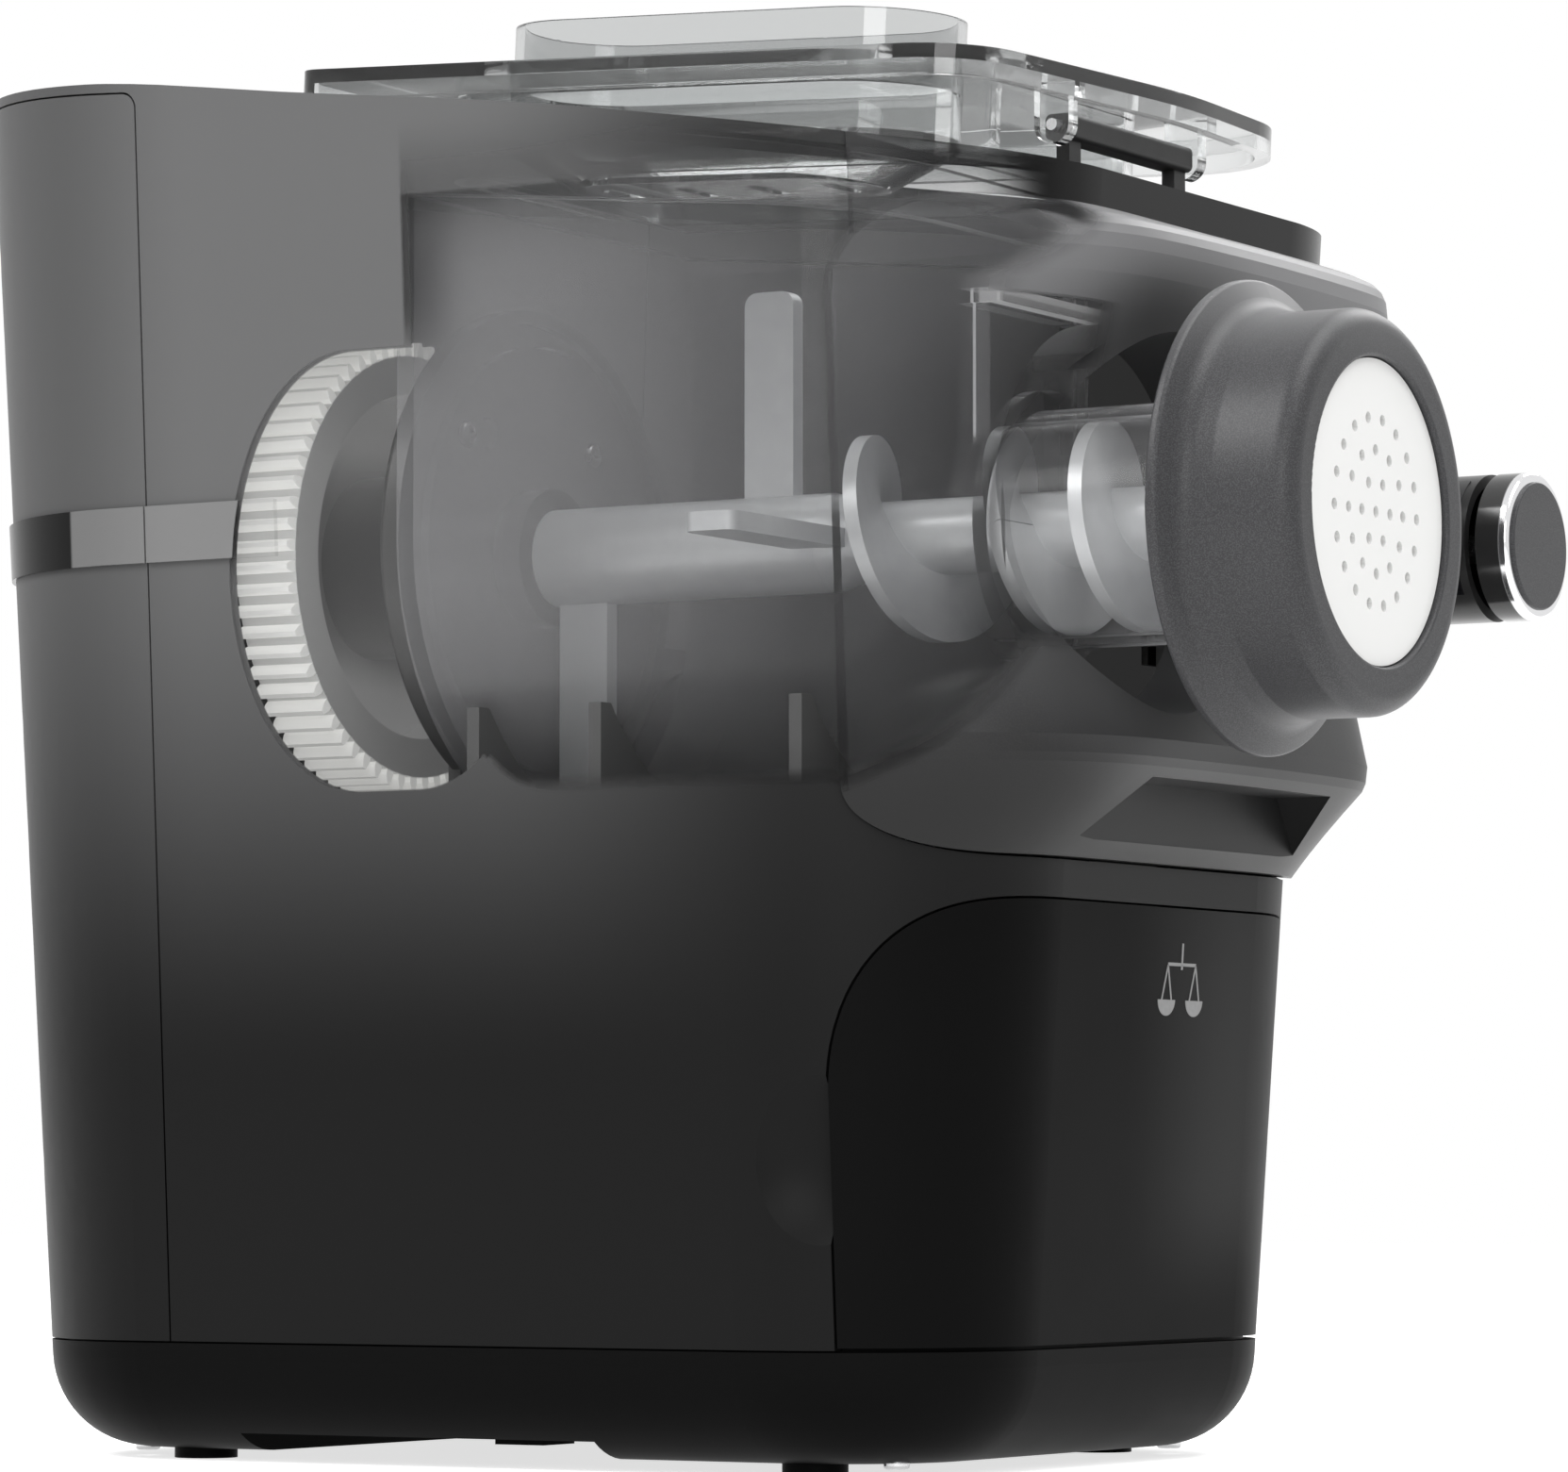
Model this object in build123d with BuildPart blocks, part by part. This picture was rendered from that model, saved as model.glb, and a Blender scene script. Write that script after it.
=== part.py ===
from build123d import *
from math import acos, atan, cos, degrees, pi, radians, sin, tan
import os

os.makedirs("parts", exist_ok=True)

# Frame: +X right, +Y to the rear, +Z up; the origin is on the floor, near the middle of the machine.

# Casing: a rounded block that leans outwards from its lower seam up to its crown
foot_height = 2.2
seam_z = 25.7
crown_z = 293.7
footprint_y = 29.5
footprint_width = 178.0
footprint_length = 239.0
footprint_radius = 45.0
lean_out = 16.0
lean_forward = 1.5
wall = 2.5
seam_gap = 0.4
half_width = footprint_width / 2
low_front_y = footprint_y - footprint_length / 2
low_rear_y = footprint_y + footprint_length / 2
rear_flat_y = low_rear_y - 41.0
rise_y = low_rear_y - 85.0
rise_z = 288.7
top_mid_y = low_front_y + 90.0
top_mid_z = 281.0
brow_y = low_front_y - 15.0
brow_z = 266.8
rear_seam_y = low_rear_y - 54.0
rear_rim = 2.9
rear_lift = 0.055
rear_rim_corner = 3.5

# Trim band round the back
band_z = 190.7
band_height = 12.0
band_proud = 0.9
band_sink = 1.2
band_front_y = low_rear_y - 87.0

# Front openings, in side view
panel_seam_y = low_front_y + 19.0
panel_bottom_z = 125.7
panel_top_z = 258.2
panel_upper_reach = 27.0
panel_upper_rise = 20.5
panel_lower_reach = 24.0
panel_lower_rise = 13.0
collar_seam_y = low_front_y + 15.0
drawer_seam_y = low_front_y + 24.0
drawer_top_z = 117.0
drawer_reach = 31.0
drawer_rise = 40.0
front_clearance = 0.5

# Front panel: how far its face stands proud of the casing at a few heights
chin_height = 18.0
chin_bulge = 22.3
waist_bulge = 13.0
brow_bulge = 20.5
panel_wall = 2.6
tube_hole_radius = 39.0
grip_width = 98.0
grip_top_width = 82.0
grip_height = 12.5
grip_back_y = low_front_y - 12.5

# Finger dishes beside the drawer
dish_z = 62.0
dish_y = low_front_y + 26.0
dish_radius = 17.0
dish_depth = 4.5

# Extruder axis, shared by the gear, the rod, the chamber and the die
axis_x = -36.0
axis_z = 193.7

# Mixing chamber
chamber_reach = 5.0
chamber_radius = half_width + chamber_reach + axis_x
chamber_wall = 2.5
chamber_rear_y = low_front_y + 124.5
chamber_front_y = low_front_y + 10.0
chamber_rear_z = 265.7
chamber_front_z = 254.7
chamber_corner = 32.0
chamber_boss_radius = 46.0
chamber_boss = 2.0
seal_radius = 15.0
collar_length = 6.5
neck_width = 42.0
neck_top_z = 242.0
neck_lip = 3.0
neck_lip_side = 14.0
hopper_gap = 0.4
hook_width = 5.0
hook_height = 7.0

# Extruding tube, disc and die cap
tube_radius = 24.8
tube_wall = 2.2
tube_front_y = low_front_y - 63.5
tube_flange = 3.0
die_flange_radius = 34.0
die_flange = 4.5
lug_count = 3
lug_angle = 40.0
lug_height = 3.4
disc_radius = 31.0
disc_lip = 3.3
disc_lip_thickness = 4.0
disc_sink = 1.4
strand_diameter = 2.4
cap_front_y = low_front_y - 74.8
cap_rear_y = low_front_y - 46.0
cap_radius = 41.2
cap_flange_radius = 48.4
cap_flange = 2.4
cap_wall = 3.2
cap_lip = 6.5
fit_gap = 0.3

# Mixing rod with its auger
core_radius = 10.5
auger_core_radius = 8.0
auger_gap = 0.5
flight_thickness = 3.2
feed_pitch = 33.0
press_pitch = 19.0
auger_start_y = low_front_y + 51.5
auger_front_y = low_front_y - 53.8
paddle_width = 12.0
paddle_thickness = 4.0
paddle_reach = chamber_radius - 4.0
socket_depth = 22.0
hex_across = 10.0
hex_gap = 0.2

# Drive train
shaft_radius = 6.0
run_gap = 0.06
gear_module = 1.5
gear_teeth = 64
idler_teeth = 16
first_module = 1.25
wheel_teeth = 50
pinion_teeth = 15
backlash = 0.24
mesh_gap = 0.06
gear_front_y = chamber_rear_y + 34.0
gear_width = 15.5
gear_rim_radius = 37.7
gear_web = 4.0
hub_radius = 20.0
hub_front_y = chamber_rear_y + 21.5
wheel_front_y = chamber_rear_y + 53.5
wheel_width = 7.0
idler_angle = -35.0
motor_angle = -20.0
idler_pin_radius = 4.0
motor_shaft_radius = 4.0
bracket_y = chamber_rear_y + 27.5
bracket_thickness = 3.0
gear_plate_y = chamber_rear_y + 65.5
gear_plate_thickness = 4.0
housing_radius = chamber_radius - 4.0
housing_rear_y = chamber_rear_y + 7.5
housing_wall = 3.0
bearing_radius = 14.0
bearing_width = 8.0
motor_radius = 31.0
motor_front_y = chamber_rear_y - 70.5
fan_radius = 27.0

# Frame over the drawer bay
shelf_z = 108.0
shelf_thickness = 3.0
bay_half_width = half_width - 26.5
bay_wall = 3.0
bay_front_y = low_front_y + 32.0
bay_rear_y = low_front_y + 152.0
cell_height = 10.0
cell_width = 12.0
cell_length = 52.0

# Drawer box
box_half_width = half_width - 31.0
box_rear_y = low_front_y + 140.0
box_front_y = low_front_y + 4.0
box_floor_z = 34.0
box_top_z = 101.0
box_wall = 2.2
box_rim = 3.7

# Control cylinder
control_x = half_width - 33.0
control_z = 194.7
control_radius = 15.8
control_wall = 2.2
control_rear_y = low_front_y + 12.0
control_front_y = low_front_y - 68.1
press_travel = 1.5

# Lid
lid_slope = 0.05
lid_z = 292.6
lid_left = 3.0 - half_width
lid_right = half_width - 21.0
lid_rear_y = low_front_y + 157.0
lid_front_y = low_front_y - 16.0
lid_thickness = 6.2
lid_skin = 2.6
lid_edge = 3.5
cup_y = low_front_y + 75.5
cup_length = 106.0
cup_width = 40.0
cup_rise = 13.2
cup_depth = 22.0
cup_wall = 2.0
cup_bevel = 8.0
skirt_left = axis_x - chamber_radius + 30.0
skirt_right = axis_x + chamber_radius - 3.0
skirt_front_y = low_front_y + 4.0
skirt_rear_y = low_front_y + 136.0
skirt_drop = 21.0
cup_x = skirt_left + 26.0
latch_x = skirt_right - 34.0
latch_y = low_front_y - 5.0
latch_z = 276.5
latch_width = 52.0
latch_depth = 6.5
latch_height = 5.4
latch_leg = 16.0
deck_gap = 1.5
deck_corner = 14.0
deck_ledge = 2.0


def front_plane(y):
    """Upright plane at the given y, facing forwards: local x is X, local y is Z, extrude goes forwards."""
    return Plane.XZ.offset(-y)


def cylinder_y(x, z, radius, rear_y, front_y):
    """Round bar along Y between two places."""
    with BuildPart() as bar:
        with BuildSketch(front_plane(rear_y)):
            with Locations((x, z)):
                Circle(radius)
        extrude(amount=rear_y - front_y)
    return bar.part


def ring_y(x, z, outer, inner, rear_y, front_y):
    """Round ring along Y between two places."""
    with BuildPart() as ring:
        with BuildSketch(front_plane(rear_y)):
            with Locations((x, z)):
                Circle(outer)
                Circle(inner, mode=Mode.SUBTRACT)
        extrude(amount=rear_y - front_y)
    return ring.part


def spread(z):
    """How far the casing's sides stand outside the footprint at height z."""
    return lean_out * (z - seam_z) / (crown_z - seam_z)


def slide(z):
    """How far the casing's outline has moved forwards at height z."""
    return lean_forward * (z - seam_z) / (crown_z - seam_z)


# ---------------------------------------- casing stock
lean_angle = degrees(atan(lean_out / (crown_z - seam_z)))
corner_x = half_width - footprint_radius
low_corner_y = low_front_y + footprint_radius


def casing_block(inset, drop):
    """The leaning rounded block under the casing's top line, with its sides inset and its top lowered."""
    with BuildPart() as block:
        for z in (seam_z, crown_z + rear_lift * footprint_radius):
            grown = spread(z) - inset
            with BuildSketch(Plane.XY.offset(z)):
                with Locations((0, footprint_y - slide(z))):
                    RectangleRounded(
                        footprint_width + 2 * grown, footprint_length + 2 * grown, footprint_radius + grown
                    )
        loft(ruled=True)
        with BuildSketch(Plane.YZ):
            with BuildLine():
                rear_y = footprint_y + footprint_length
                top_line = Spline(
                    (rear_flat_y, crown_z - drop),
                    (rise_y, rise_z - drop),
                    (top_mid_y, top_mid_z - drop),
                    (brow_y, brow_z - drop),
                    tangents=((-1, -rear_lift), (-1, -0.07)),
                )
                Polyline(
                    top_line @ 1,
                    (-rear_y, brow_z - drop),
                    (-rear_y, 2 * crown_z),
                    (rear_y, 2 * crown_z),
                    (rear_y, crown_z - drop + rear_lift * (rear_y - rear_flat_y)),
                    top_line @ 0,
                )
            make_face()
        extrude(amount=footprint_width, both=True, mode=Mode.SUBTRACT)
    return block.part


outer_block = casing_block(0, 0)
inner_block = casing_block(wall, wall)
lining_block = casing_block(wall + fit_gap, wall + fit_gap)

with BuildPart() as casing_stock:
    add(outer_block)
    add(inner_block, mode=Mode.SUBTRACT)


# ---------------------------------------- openings in side view
def panel_zone(grow):
    """Side-view region of the front panel, as a bar across the whole width."""
    front = cap_front_y
    with BuildPart() as zone:
        with BuildSketch(Plane.YZ):
            with BuildLine():
                upper = EllipticalCenterArc(
                    (panel_seam_y - panel_upper_reach, panel_top_z - panel_upper_rise),
                    panel_upper_reach + grow,
                    panel_upper_rise + grow,
                    start_angle=0,
                    arc_size=90,
                )
                lower = EllipticalCenterArc(
                    (panel_seam_y - panel_lower_reach, panel_bottom_z + panel_lower_rise),
                    panel_lower_reach + grow,
                    panel_lower_rise + grow,
                    start_angle=-90,
                    arc_size=90,
                )
                Line(lower @ 1, upper @ 0)
                Polyline(
                    upper @ 1,
                    (front, panel_top_z + grow),
                    (front, panel_bottom_z - grow),
                    lower @ 0,
                )
            make_face()
        extrude(amount=footprint_width, both=True)
    return zone.part


def drawer_zone(grow):
    """Side-view region of the drawer front, as a bar across the whole width."""
    front = cap_front_y
    with BuildPart() as zone:
        with BuildSketch(Plane.YZ):
            with BuildLine():
                shoulder = EllipticalCenterArc(
                    (drawer_seam_y - drawer_reach, drawer_top_z - drawer_rise),
                    drawer_reach + grow,
                    drawer_rise + grow,
                    start_angle=0,
                    arc_size=90,
                )
                Polyline(
                    shoulder @ 1,
                    (front, drawer_top_z + grow),
                    (front, seam_z + front_clearance - grow),
                    (drawer_seam_y + grow, seam_z + front_clearance - grow),
                    shoulder @ 0,
                )
            make_face()
        extrude(amount=footprint_width, both=True)
    return zone.part


def slab(y_low, y_high, z_low, z_high):
    """A bar across the whole width between two places in y and two heights."""
    with BuildPart() as bar:
        with BuildSketch(Plane.YZ):
            with Locations(((y_low + y_high) / 2, (z_low + z_high) / 2)):
                Rectangle(y_high - y_low, z_high - z_low)
        extrude(amount=footprint_width, both=True)
    return bar.part


panel_hole = panel_zone(front_clearance)
panel_region = panel_zone(0)
drawer_hole = drawer_zone(front_clearance)
drawer_region = drawer_zone(0)
far_y = footprint_y + footprint_length


def rear_zone(grow):
    """Side-view region of the rear cover, as a bar across the whole width with one rounded corner."""
    front = rear_seam_y - grow
    top = crown_z - rear_rim + grow
    far_top = top + rear_lift * (far_y - front)
    with BuildPart() as zone:
        with BuildSketch(Plane.YZ):
            with BuildLine():
                FilletPolyline(
                    (far_y, 0),
                    (front, 0),
                    (front, top),
                    (far_y, far_top),
                    radius=[0, 0, rear_rim_corner + grow, 0],
                    close=True,
                )
            make_face()
        extrude(amount=footprint_width, both=True)
    return zone.part


rear_region = rear_zone(-seam_gap / 2)
rear_cut = rear_zone(seam_gap / 2)
brow_region = slab(-far_y, collar_seam_y - seam_gap / 2, panel_top_z - panel_upper_rise, 2 * crown_z)
brow_cut = slab(-far_y, collar_seam_y + seam_gap / 2, panel_top_z - panel_upper_rise, 2 * crown_z)

# Opening in the deck under the lid
lid_plane = Plane(origin=(0, 0, lid_z), x_dir=(1, 0, 0), z_dir=(0, -lid_slope, 1))
deck_left = skirt_left - deck_gap
deck_right = skirt_right + deck_gap
deck_front_y = latch_y - 4.0
with BuildPart() as deck_opening:
    with BuildSketch(Plane.XY.offset(brow_z - 4 * wall)):
        with Locations(((deck_left + deck_right) / 2, (skirt_rear_y + deck_gap + deck_front_y) / 2)):
            RectangleRounded(deck_right - deck_left, skirt_rear_y + deck_gap - deck_front_y, deck_corner)
    extrude(amount=crown_z)
    add(casing_block(wall + deck_ledge, -wall), mode=Mode.INTERSECT)

# Groove for the trim band
with BuildPart() as band_groove:
    add(outer_block)
    add(casing_block(band_sink, 0), mode=Mode.SUBTRACT)
    add(slab(band_front_y, far_y, band_z, band_z + band_height), mode=Mode.INTERSECT)

# Finger dishes: a ball sunk into the rounded front corners
ball_radius = (dish_radius**2 + dish_depth**2) / (2 * dish_depth)
corner_reach = footprint_radius + spread(dish_z)
dish_corner_y = low_corner_y - slide(dish_z)
dish_turn = acos((dish_corner_y - dish_y) / corner_reach)
ball_out = corner_reach + ball_radius - dish_depth
ball_x = corner_x + ball_out * sin(dish_turn)
ball_y = dish_corner_y - ball_out * cos(dish_turn)


def finger_balls(radius):
    """One ball outside each front corner."""
    with BuildPart() as balls:
        with Locations((-ball_x, ball_y, dish_z), (ball_x, ball_y, dish_z)):
            Sphere(radius)
    return balls.part


dish_balls = finger_balls(ball_radius)
dish_backs = finger_balls(ball_radius + wall) & inner_block

with BuildPart() as body_casing:
    add(casing_stock.part)
    add(dish_backs)
    add(dish_balls, mode=Mode.SUBTRACT)
    add(rear_cut, mode=Mode.SUBTRACT)
    add(brow_cut, mode=Mode.SUBTRACT)
    add(panel_hole, mode=Mode.SUBTRACT)
    add(drawer_hole, mode=Mode.SUBTRACT)
    add(deck_opening.part, mode=Mode.SUBTRACT)
    add(band_groove.part, mode=Mode.SUBTRACT)
body_casing.part.label = "body_casing"
export_step(body_casing.part, "parts/body_casing.step")

with BuildPart() as front_collar:
    add(casing_stock.part)
    add(brow_region, mode=Mode.INTERSECT)
    add(panel_hole, mode=Mode.SUBTRACT)
    add(deck_opening.part, mode=Mode.SUBTRACT)
front_collar.part.label = "front_collar"
export_step(front_collar.part, "parts/front_collar.step")

# ---------------------------------------- rear cover with its vents and cord gland
vent_count = 9
vent_pitch = 8.0
vent_width = 70.0
vent_height = 3.0
vent_z = 90.0
gland_x = -30.0
gland_z = 45.0
gland_radius = 6.0
gland_hole = 3.6
gland_slack = 1.0
with BuildPart() as rear_cover:
    add(casing_stock.part)
    add(rear_region, mode=Mode.INTERSECT)
    add(band_groove.part, mode=Mode.SUBTRACT)
    with BuildSketch(front_plane(far_y)):
        with Locations((0, vent_z)):
            with GridLocations(0, vent_pitch, 1, vent_count):
                SlotOverall(vent_width, vent_height)
    extrude(amount=footprint_length, mode=Mode.SUBTRACT)
    add(cylinder_y(gland_x, gland_z, gland_radius, far_y, footprint_y), mode=Mode.SUBTRACT)
rear_cover.part.label = "rear_cover"
export_step(rear_cover.part, "parts/rear_cover.step")

gland_y = low_rear_y + spread(gland_z) - slide(gland_z)
with BuildPart() as cord_gland:
    with BuildSketch(front_plane(gland_y)):
        with Locations((gland_x, gland_z)):
            Circle(gland_radius - fit_gap / 2)
    extrude(amount=2 * wall)
    with BuildSketch(front_plane(gland_y - wall - gland_slack)):
        with Locations((gland_x, gland_z)):
            Circle(gland_radius + 2 * wall)
    extrude(amount=wall)
    with BuildSketch(front_plane(gland_y)):
        with Locations((gland_x, gland_z)):
            Circle(gland_hole)
    extrude(amount=footprint_length, mode=Mode.SUBTRACT)
cord_gland.part.label = "cord_gland"
export_step(cord_gland.part, "parts/cord_gland.step")

# ---------------------------------------- trim band: one piece on the cover, one on each side
with BuildPart() as trim_band:
    add(casing_block(-band_proud, 0))
    add(casing_block(band_sink, 0), mode=Mode.SUBTRACT)
    add(slab(band_front_y, far_y, band_z, band_z + band_height), mode=Mode.INTERSECT)
    add(slab(rear_seam_y - seam_gap / 2, rear_seam_y + seam_gap / 2, 0, crown_z), mode=Mode.SUBTRACT)
trim_band.part.label = "trim_band"
export_step(trim_band.part, "parts/trim_band.step")

# ---------------------------------------- base tray: raised between two steps, on four feet
tray_round = 21.0
arch_front_y = low_front_y + 84.0
arch_rear_y = low_rear_y - 66.0
arch_height = 4.0
foot_radius = 6.8
foot_plug = 3.0
foot_x = half_width - 27.0
foot_front_y = low_front_y + 42.0
foot_rear_y = low_rear_y - 44.0
lip_height = 3.0
lip_wall = 1.6
board_front_y = low_rear_y - 65.0
board_length = 44.0
board_width = 116.0
board_z = 14.0
board_post = 3.0
tray_top = seam_z - seam_gap
tray_floor = foot_height + wall
arch_top = foot_height + arch_height
cell_z = arch_top + 2 * wall
foot_spots = [(x, y) for x in (-foot_x, foot_x) for y in (foot_front_y, foot_rear_y)]
bay_rear = bay_rear_y + bay_wall
cell_x = bay_half_width + bay_wall / 2
cell_spots = [
    (x, y + cell_length / 2)
    for x in (-cell_x, cell_x)
    for y in (bay_front_y, bay_rear - cell_length)
]
board_y = board_front_y + board_length / 2


def tray_block(inset):
    """The tray's rounded block, inset evenly, from its underside up to its top edge."""
    underside = foot_height + inset
    with BuildPart() as block:
        with BuildSketch(Plane.XY.offset(tray_top)):
            with Locations((0, footprint_y)):
                RectangleRounded(
                    footprint_width - 2 * inset, footprint_length - 2 * inset, footprint_radius - inset
                )
        extrude(amount=underside - tray_top, taper=lean_angle)
        fillet(block.faces().sort_by(Axis.Z)[0].edges(), tray_round - inset)
    return block.part


def tray_ring(outer, inner, z, height):
    """A ring that follows the casing's footprint, between two insets."""
    with BuildPart() as ring:
        with BuildSketch(Plane.XY.offset(z)):
            with Locations((0, footprint_y)):
                RectangleRounded(
                    footprint_width - 2 * outer, footprint_length - 2 * outer, footprint_radius - outer
                )
                RectangleRounded(
                    footprint_width - 2 * inner,
                    footprint_length - 2 * inner,
                    footprint_radius - inner,
                    mode=Mode.SUBTRACT,
                )
        extrude(amount=height)
    return ring.part


tray_outside = tray_block(0)
tray_inside = tray_block(wall)
arch_floor = tray_inside & slab(arch_front_y - wall, arch_rear_y + wall, foot_height, arch_top + wall)
lip_inner = wall + fit_gap + lip_wall
with BuildPart() as base_tray:
    add(tray_outside)
    add(tray_inside, mode=Mode.SUBTRACT)
    add(arch_floor)
    add(slab(arch_front_y, arch_rear_y, 0, arch_top), mode=Mode.SUBTRACT)
    add(tray_ring(wall - fit_gap, lip_inner, tray_top - wall, wall))
    add(tray_ring(wall + fit_gap, lip_inner, tray_top, lip_height + seam_gap))
    with BuildSketch(Plane.XY.offset(cell_z)):
        with Locations(cell_spots):
            with Locations((0, -(cell_length - cell_width) / 2)):
                Rectangle(cell_width, cell_width)
    extrude(amount=-(cell_z - tray_floor))
    with BuildSketch(Plane.XY.offset(board_z)):
        with Locations((0, board_y)):
            with GridLocations(board_width - 4 * board_post, board_length - 4 * board_post, 2, 2):
                Circle(board_post)
    extrude(amount=-(board_z - tray_floor))
    with BuildSketch(Plane.XY):
        with Locations(foot_spots):
            Circle(foot_plug)
    extrude(amount=tray_floor, mode=Mode.SUBTRACT)
base_tray.part.label = "base_tray"
export_step(base_tray.part, "parts/base_tray.step")

with BuildPart() as rubber_feet:
    with BuildSketch(Plane.XY):
        with Locations(foot_spots):
            Circle(foot_radius)
    extrude(amount=foot_height)
    with BuildSketch(Plane.XY.offset(foot_height)):
        with Locations(foot_spots):
            Circle(foot_plug)
    extrude(amount=wall)
rubber_feet.part.label = "rubber_feet"
export_step(rubber_feet.part, "parts/rubber_feet.step")

with BuildPart() as load_cells:
    with BuildSketch(Plane.XY.offset(cell_z)):
        with Locations(cell_spots):
            Rectangle(cell_width, cell_length)
    extrude(amount=cell_height)
    with BuildSketch(Plane.YZ):
        with Locations(*[(y, cell_z + cell_height / 2) for x, y in cell_spots[:2]]):
            SlotOverall(cell_length / 2, cell_height / 2)
    extrude(amount=footprint_width, both=True, mode=Mode.SUBTRACT)
load_cells.part.label = "load_cells"
export_step(load_cells.part, "parts/load_cells.step")

# ---------------------------------------- inner frame: a bay round the drawer, carrying a shelf
frame_wall_z = cell_z + cell_height + 2.0
shelf_top = shelf_z + shelf_thickness
shelf_rear_y = gear_plate_y + gear_plate_thickness + 2.0
rib_thickness = 3.0
rib_reach = 50.0
rib_top_z = 158.0
rib_ys = [chamber_rear_y - back for back in (90.5, 42.5, 12.5)]
saddle_ys = [chamber_rear_y - back for back in (54.5, -5.5)]
cradle_gap = 1.5
cradle_wall = 2.0
cradle_top_z = 262.0
saddle_half_width = 26.0
saddle_top_z = 128.0
control_plate_half = 18.0
idler_spread = (gear_teeth + idler_teeth) / 2 * gear_module + mesh_gap
idler_x = axis_x + idler_spread * cos(radians(idler_angle))
idler_z = axis_z + idler_spread * sin(radians(idler_angle))
motor_spread = (wheel_teeth + pinion_teeth) / 2 * first_module + mesh_gap
motor_x = idler_x + motor_spread * cos(radians(motor_angle))
motor_z = idler_z + motor_spread * sin(radians(motor_angle))
with BuildPart() as shelf_blank:
    with BuildSketch(Plane.XY.offset(shelf_z)):
        with Locations((0, footprint_y)):
            RectangleRounded(
                footprint_width - 2 * wall - 2 * fit_gap,
                footprint_length - 2 * wall - 2 * fit_gap,
                footprint_radius - wall - fit_gap,
            )
    extrude(amount=shelf_thickness, taper=-lean_angle)
shelf_plan = shelf_blank.part & slab(control_rear_y, shelf_rear_y, 0, crown_z)
with BuildPart() as inner_frame:
    add(shelf_plan)
    with BuildSketch(Plane.XY.offset(frame_wall_z)):
        with Locations((0, (bay_front_y + bay_rear) / 2)):
            Rectangle(2 * (bay_half_width + bay_wall), bay_rear - bay_front_y)
        with Locations((0, (bay_front_y + bay_rear_y) / 2)):
            Rectangle(2 * bay_half_width, bay_rear_y - bay_front_y, mode=Mode.SUBTRACT)
    extrude(amount=shelf_z - frame_wall_z)
    with BuildSketch(Plane.XY.offset(cell_z + cell_height)):
        with Locations(cell_spots):
            with Locations((0, (cell_length - cell_width) / 2)):
                Rectangle(bay_wall, cell_width)
    extrude(amount=frame_wall_z - cell_z - cell_height)
    for rib_y in rib_ys:
        with BuildSketch(front_plane(rib_y)):
            with Locations((axis_x, (shelf_top + rib_top_z) / 2)):
                Rectangle(2 * rib_reach, rib_top_z - shelf_top)
            with Locations((axis_x, axis_z)):
                Circle(chamber_radius + fit_gap, mode=Mode.SUBTRACT)
        extrude(amount=rib_thickness)
    with BuildSketch(front_plane(chamber_rear_y)):
        cradle_radius = chamber_radius + cradle_gap + cradle_wall
        upright = Location((axis_x, (axis_z + cradle_top_z) / 2))
        with Locations((axis_x, axis_z)):
            Circle(cradle_radius)
        with Locations(upright):
            Rectangle(2 * cradle_radius, cradle_top_z - axis_z)
        with Locations((axis_x, axis_z)):
            Circle(cradle_radius - cradle_wall, mode=Mode.SUBTRACT)
        with Locations(upright):
            Rectangle(2 * (cradle_radius - cradle_wall), cradle_top_z - axis_z, mode=Mode.SUBTRACT)
        with Locations((axis_x - cradle_radius, axis_z)):
            Rectangle(2 * cradle_radius, 4 * cradle_radius, mode=Mode.SUBTRACT)
    extrude(amount=chamber_rear_y - rib_ys[0] + rib_thickness)
    for saddle_y in saddle_ys:
        with BuildSketch(front_plane(saddle_y)):
            with Locations((motor_x, (shelf_top + saddle_top_z) / 2)):
                Rectangle(2 * saddle_half_width, saddle_top_z - shelf_top)
            with Locations((motor_x, motor_z)):
                Circle(motor_radius + fit_gap, mode=Mode.SUBTRACT)
        extrude(amount=rib_thickness)
    with BuildSketch(front_plane(control_rear_y + bay_wall)):
        with Locations((control_x, (shelf_top + control_z) / 2)):
            Rectangle(2 * control_plate_half, control_z - shelf_top)
        with Locations((control_x, control_z)):
            Circle(control_plate_half)
    extrude(amount=bay_wall)
inner_frame.part.label = "inner_frame"
export_step(inner_frame.part, "parts/inner_frame.step")

# ---------------------------------------- drawer: curved front, open box, two runners
boss_radius = 5.0
runner_height = 2.0
with BuildPart() as drawer_front:
    add(casing_stock.part)
    add(drawer_region, mode=Mode.INTERSECT)
    with BuildSketch(front_plane(box_front_y)):
        with Locations((-box_half_width / 2, dish_z), (box_half_width / 2, dish_z)):
            Circle(boss_radius)
    extrude(amount=2 * wall)
drawer_front.part.label = "drawer_front"
export_step(drawer_front.part, "parts/drawer_front.step")

with BuildPart() as drawer_box:
    box_length = box_rear_y - box_front_y
    box_height = box_top_z - box_floor_z
    with BuildSketch(Plane.XY.offset(box_floor_z)):
        with Locations((0, box_front_y + box_length / 2)):
            Rectangle(2 * box_half_width, box_length)
    extrude(amount=box_height)
    fillet(drawer_box.edges().filter_by(Axis.Z), 4)
    fillet(drawer_box.faces().sort_by(Axis.Z)[0].edges(), 3)
    offset(amount=-box_wall, openings=drawer_box.faces().sort_by(Axis.Z)[-1])
    with BuildSketch(Plane.XY.offset(box_top_z - box_wall)):
        with Locations((0, (bay_front_y + box_rear_y) / 2)):
            Rectangle(2 * (box_half_width + box_rim), box_rear_y - bay_front_y)
            Rectangle(2 * box_half_width - box_wall, box_rear_y - bay_front_y, mode=Mode.SUBTRACT)
    extrude(amount=box_wall)
drawer_box.part.label = "drawer_box"
export_step(drawer_box.part, "parts/drawer_box.step")

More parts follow.
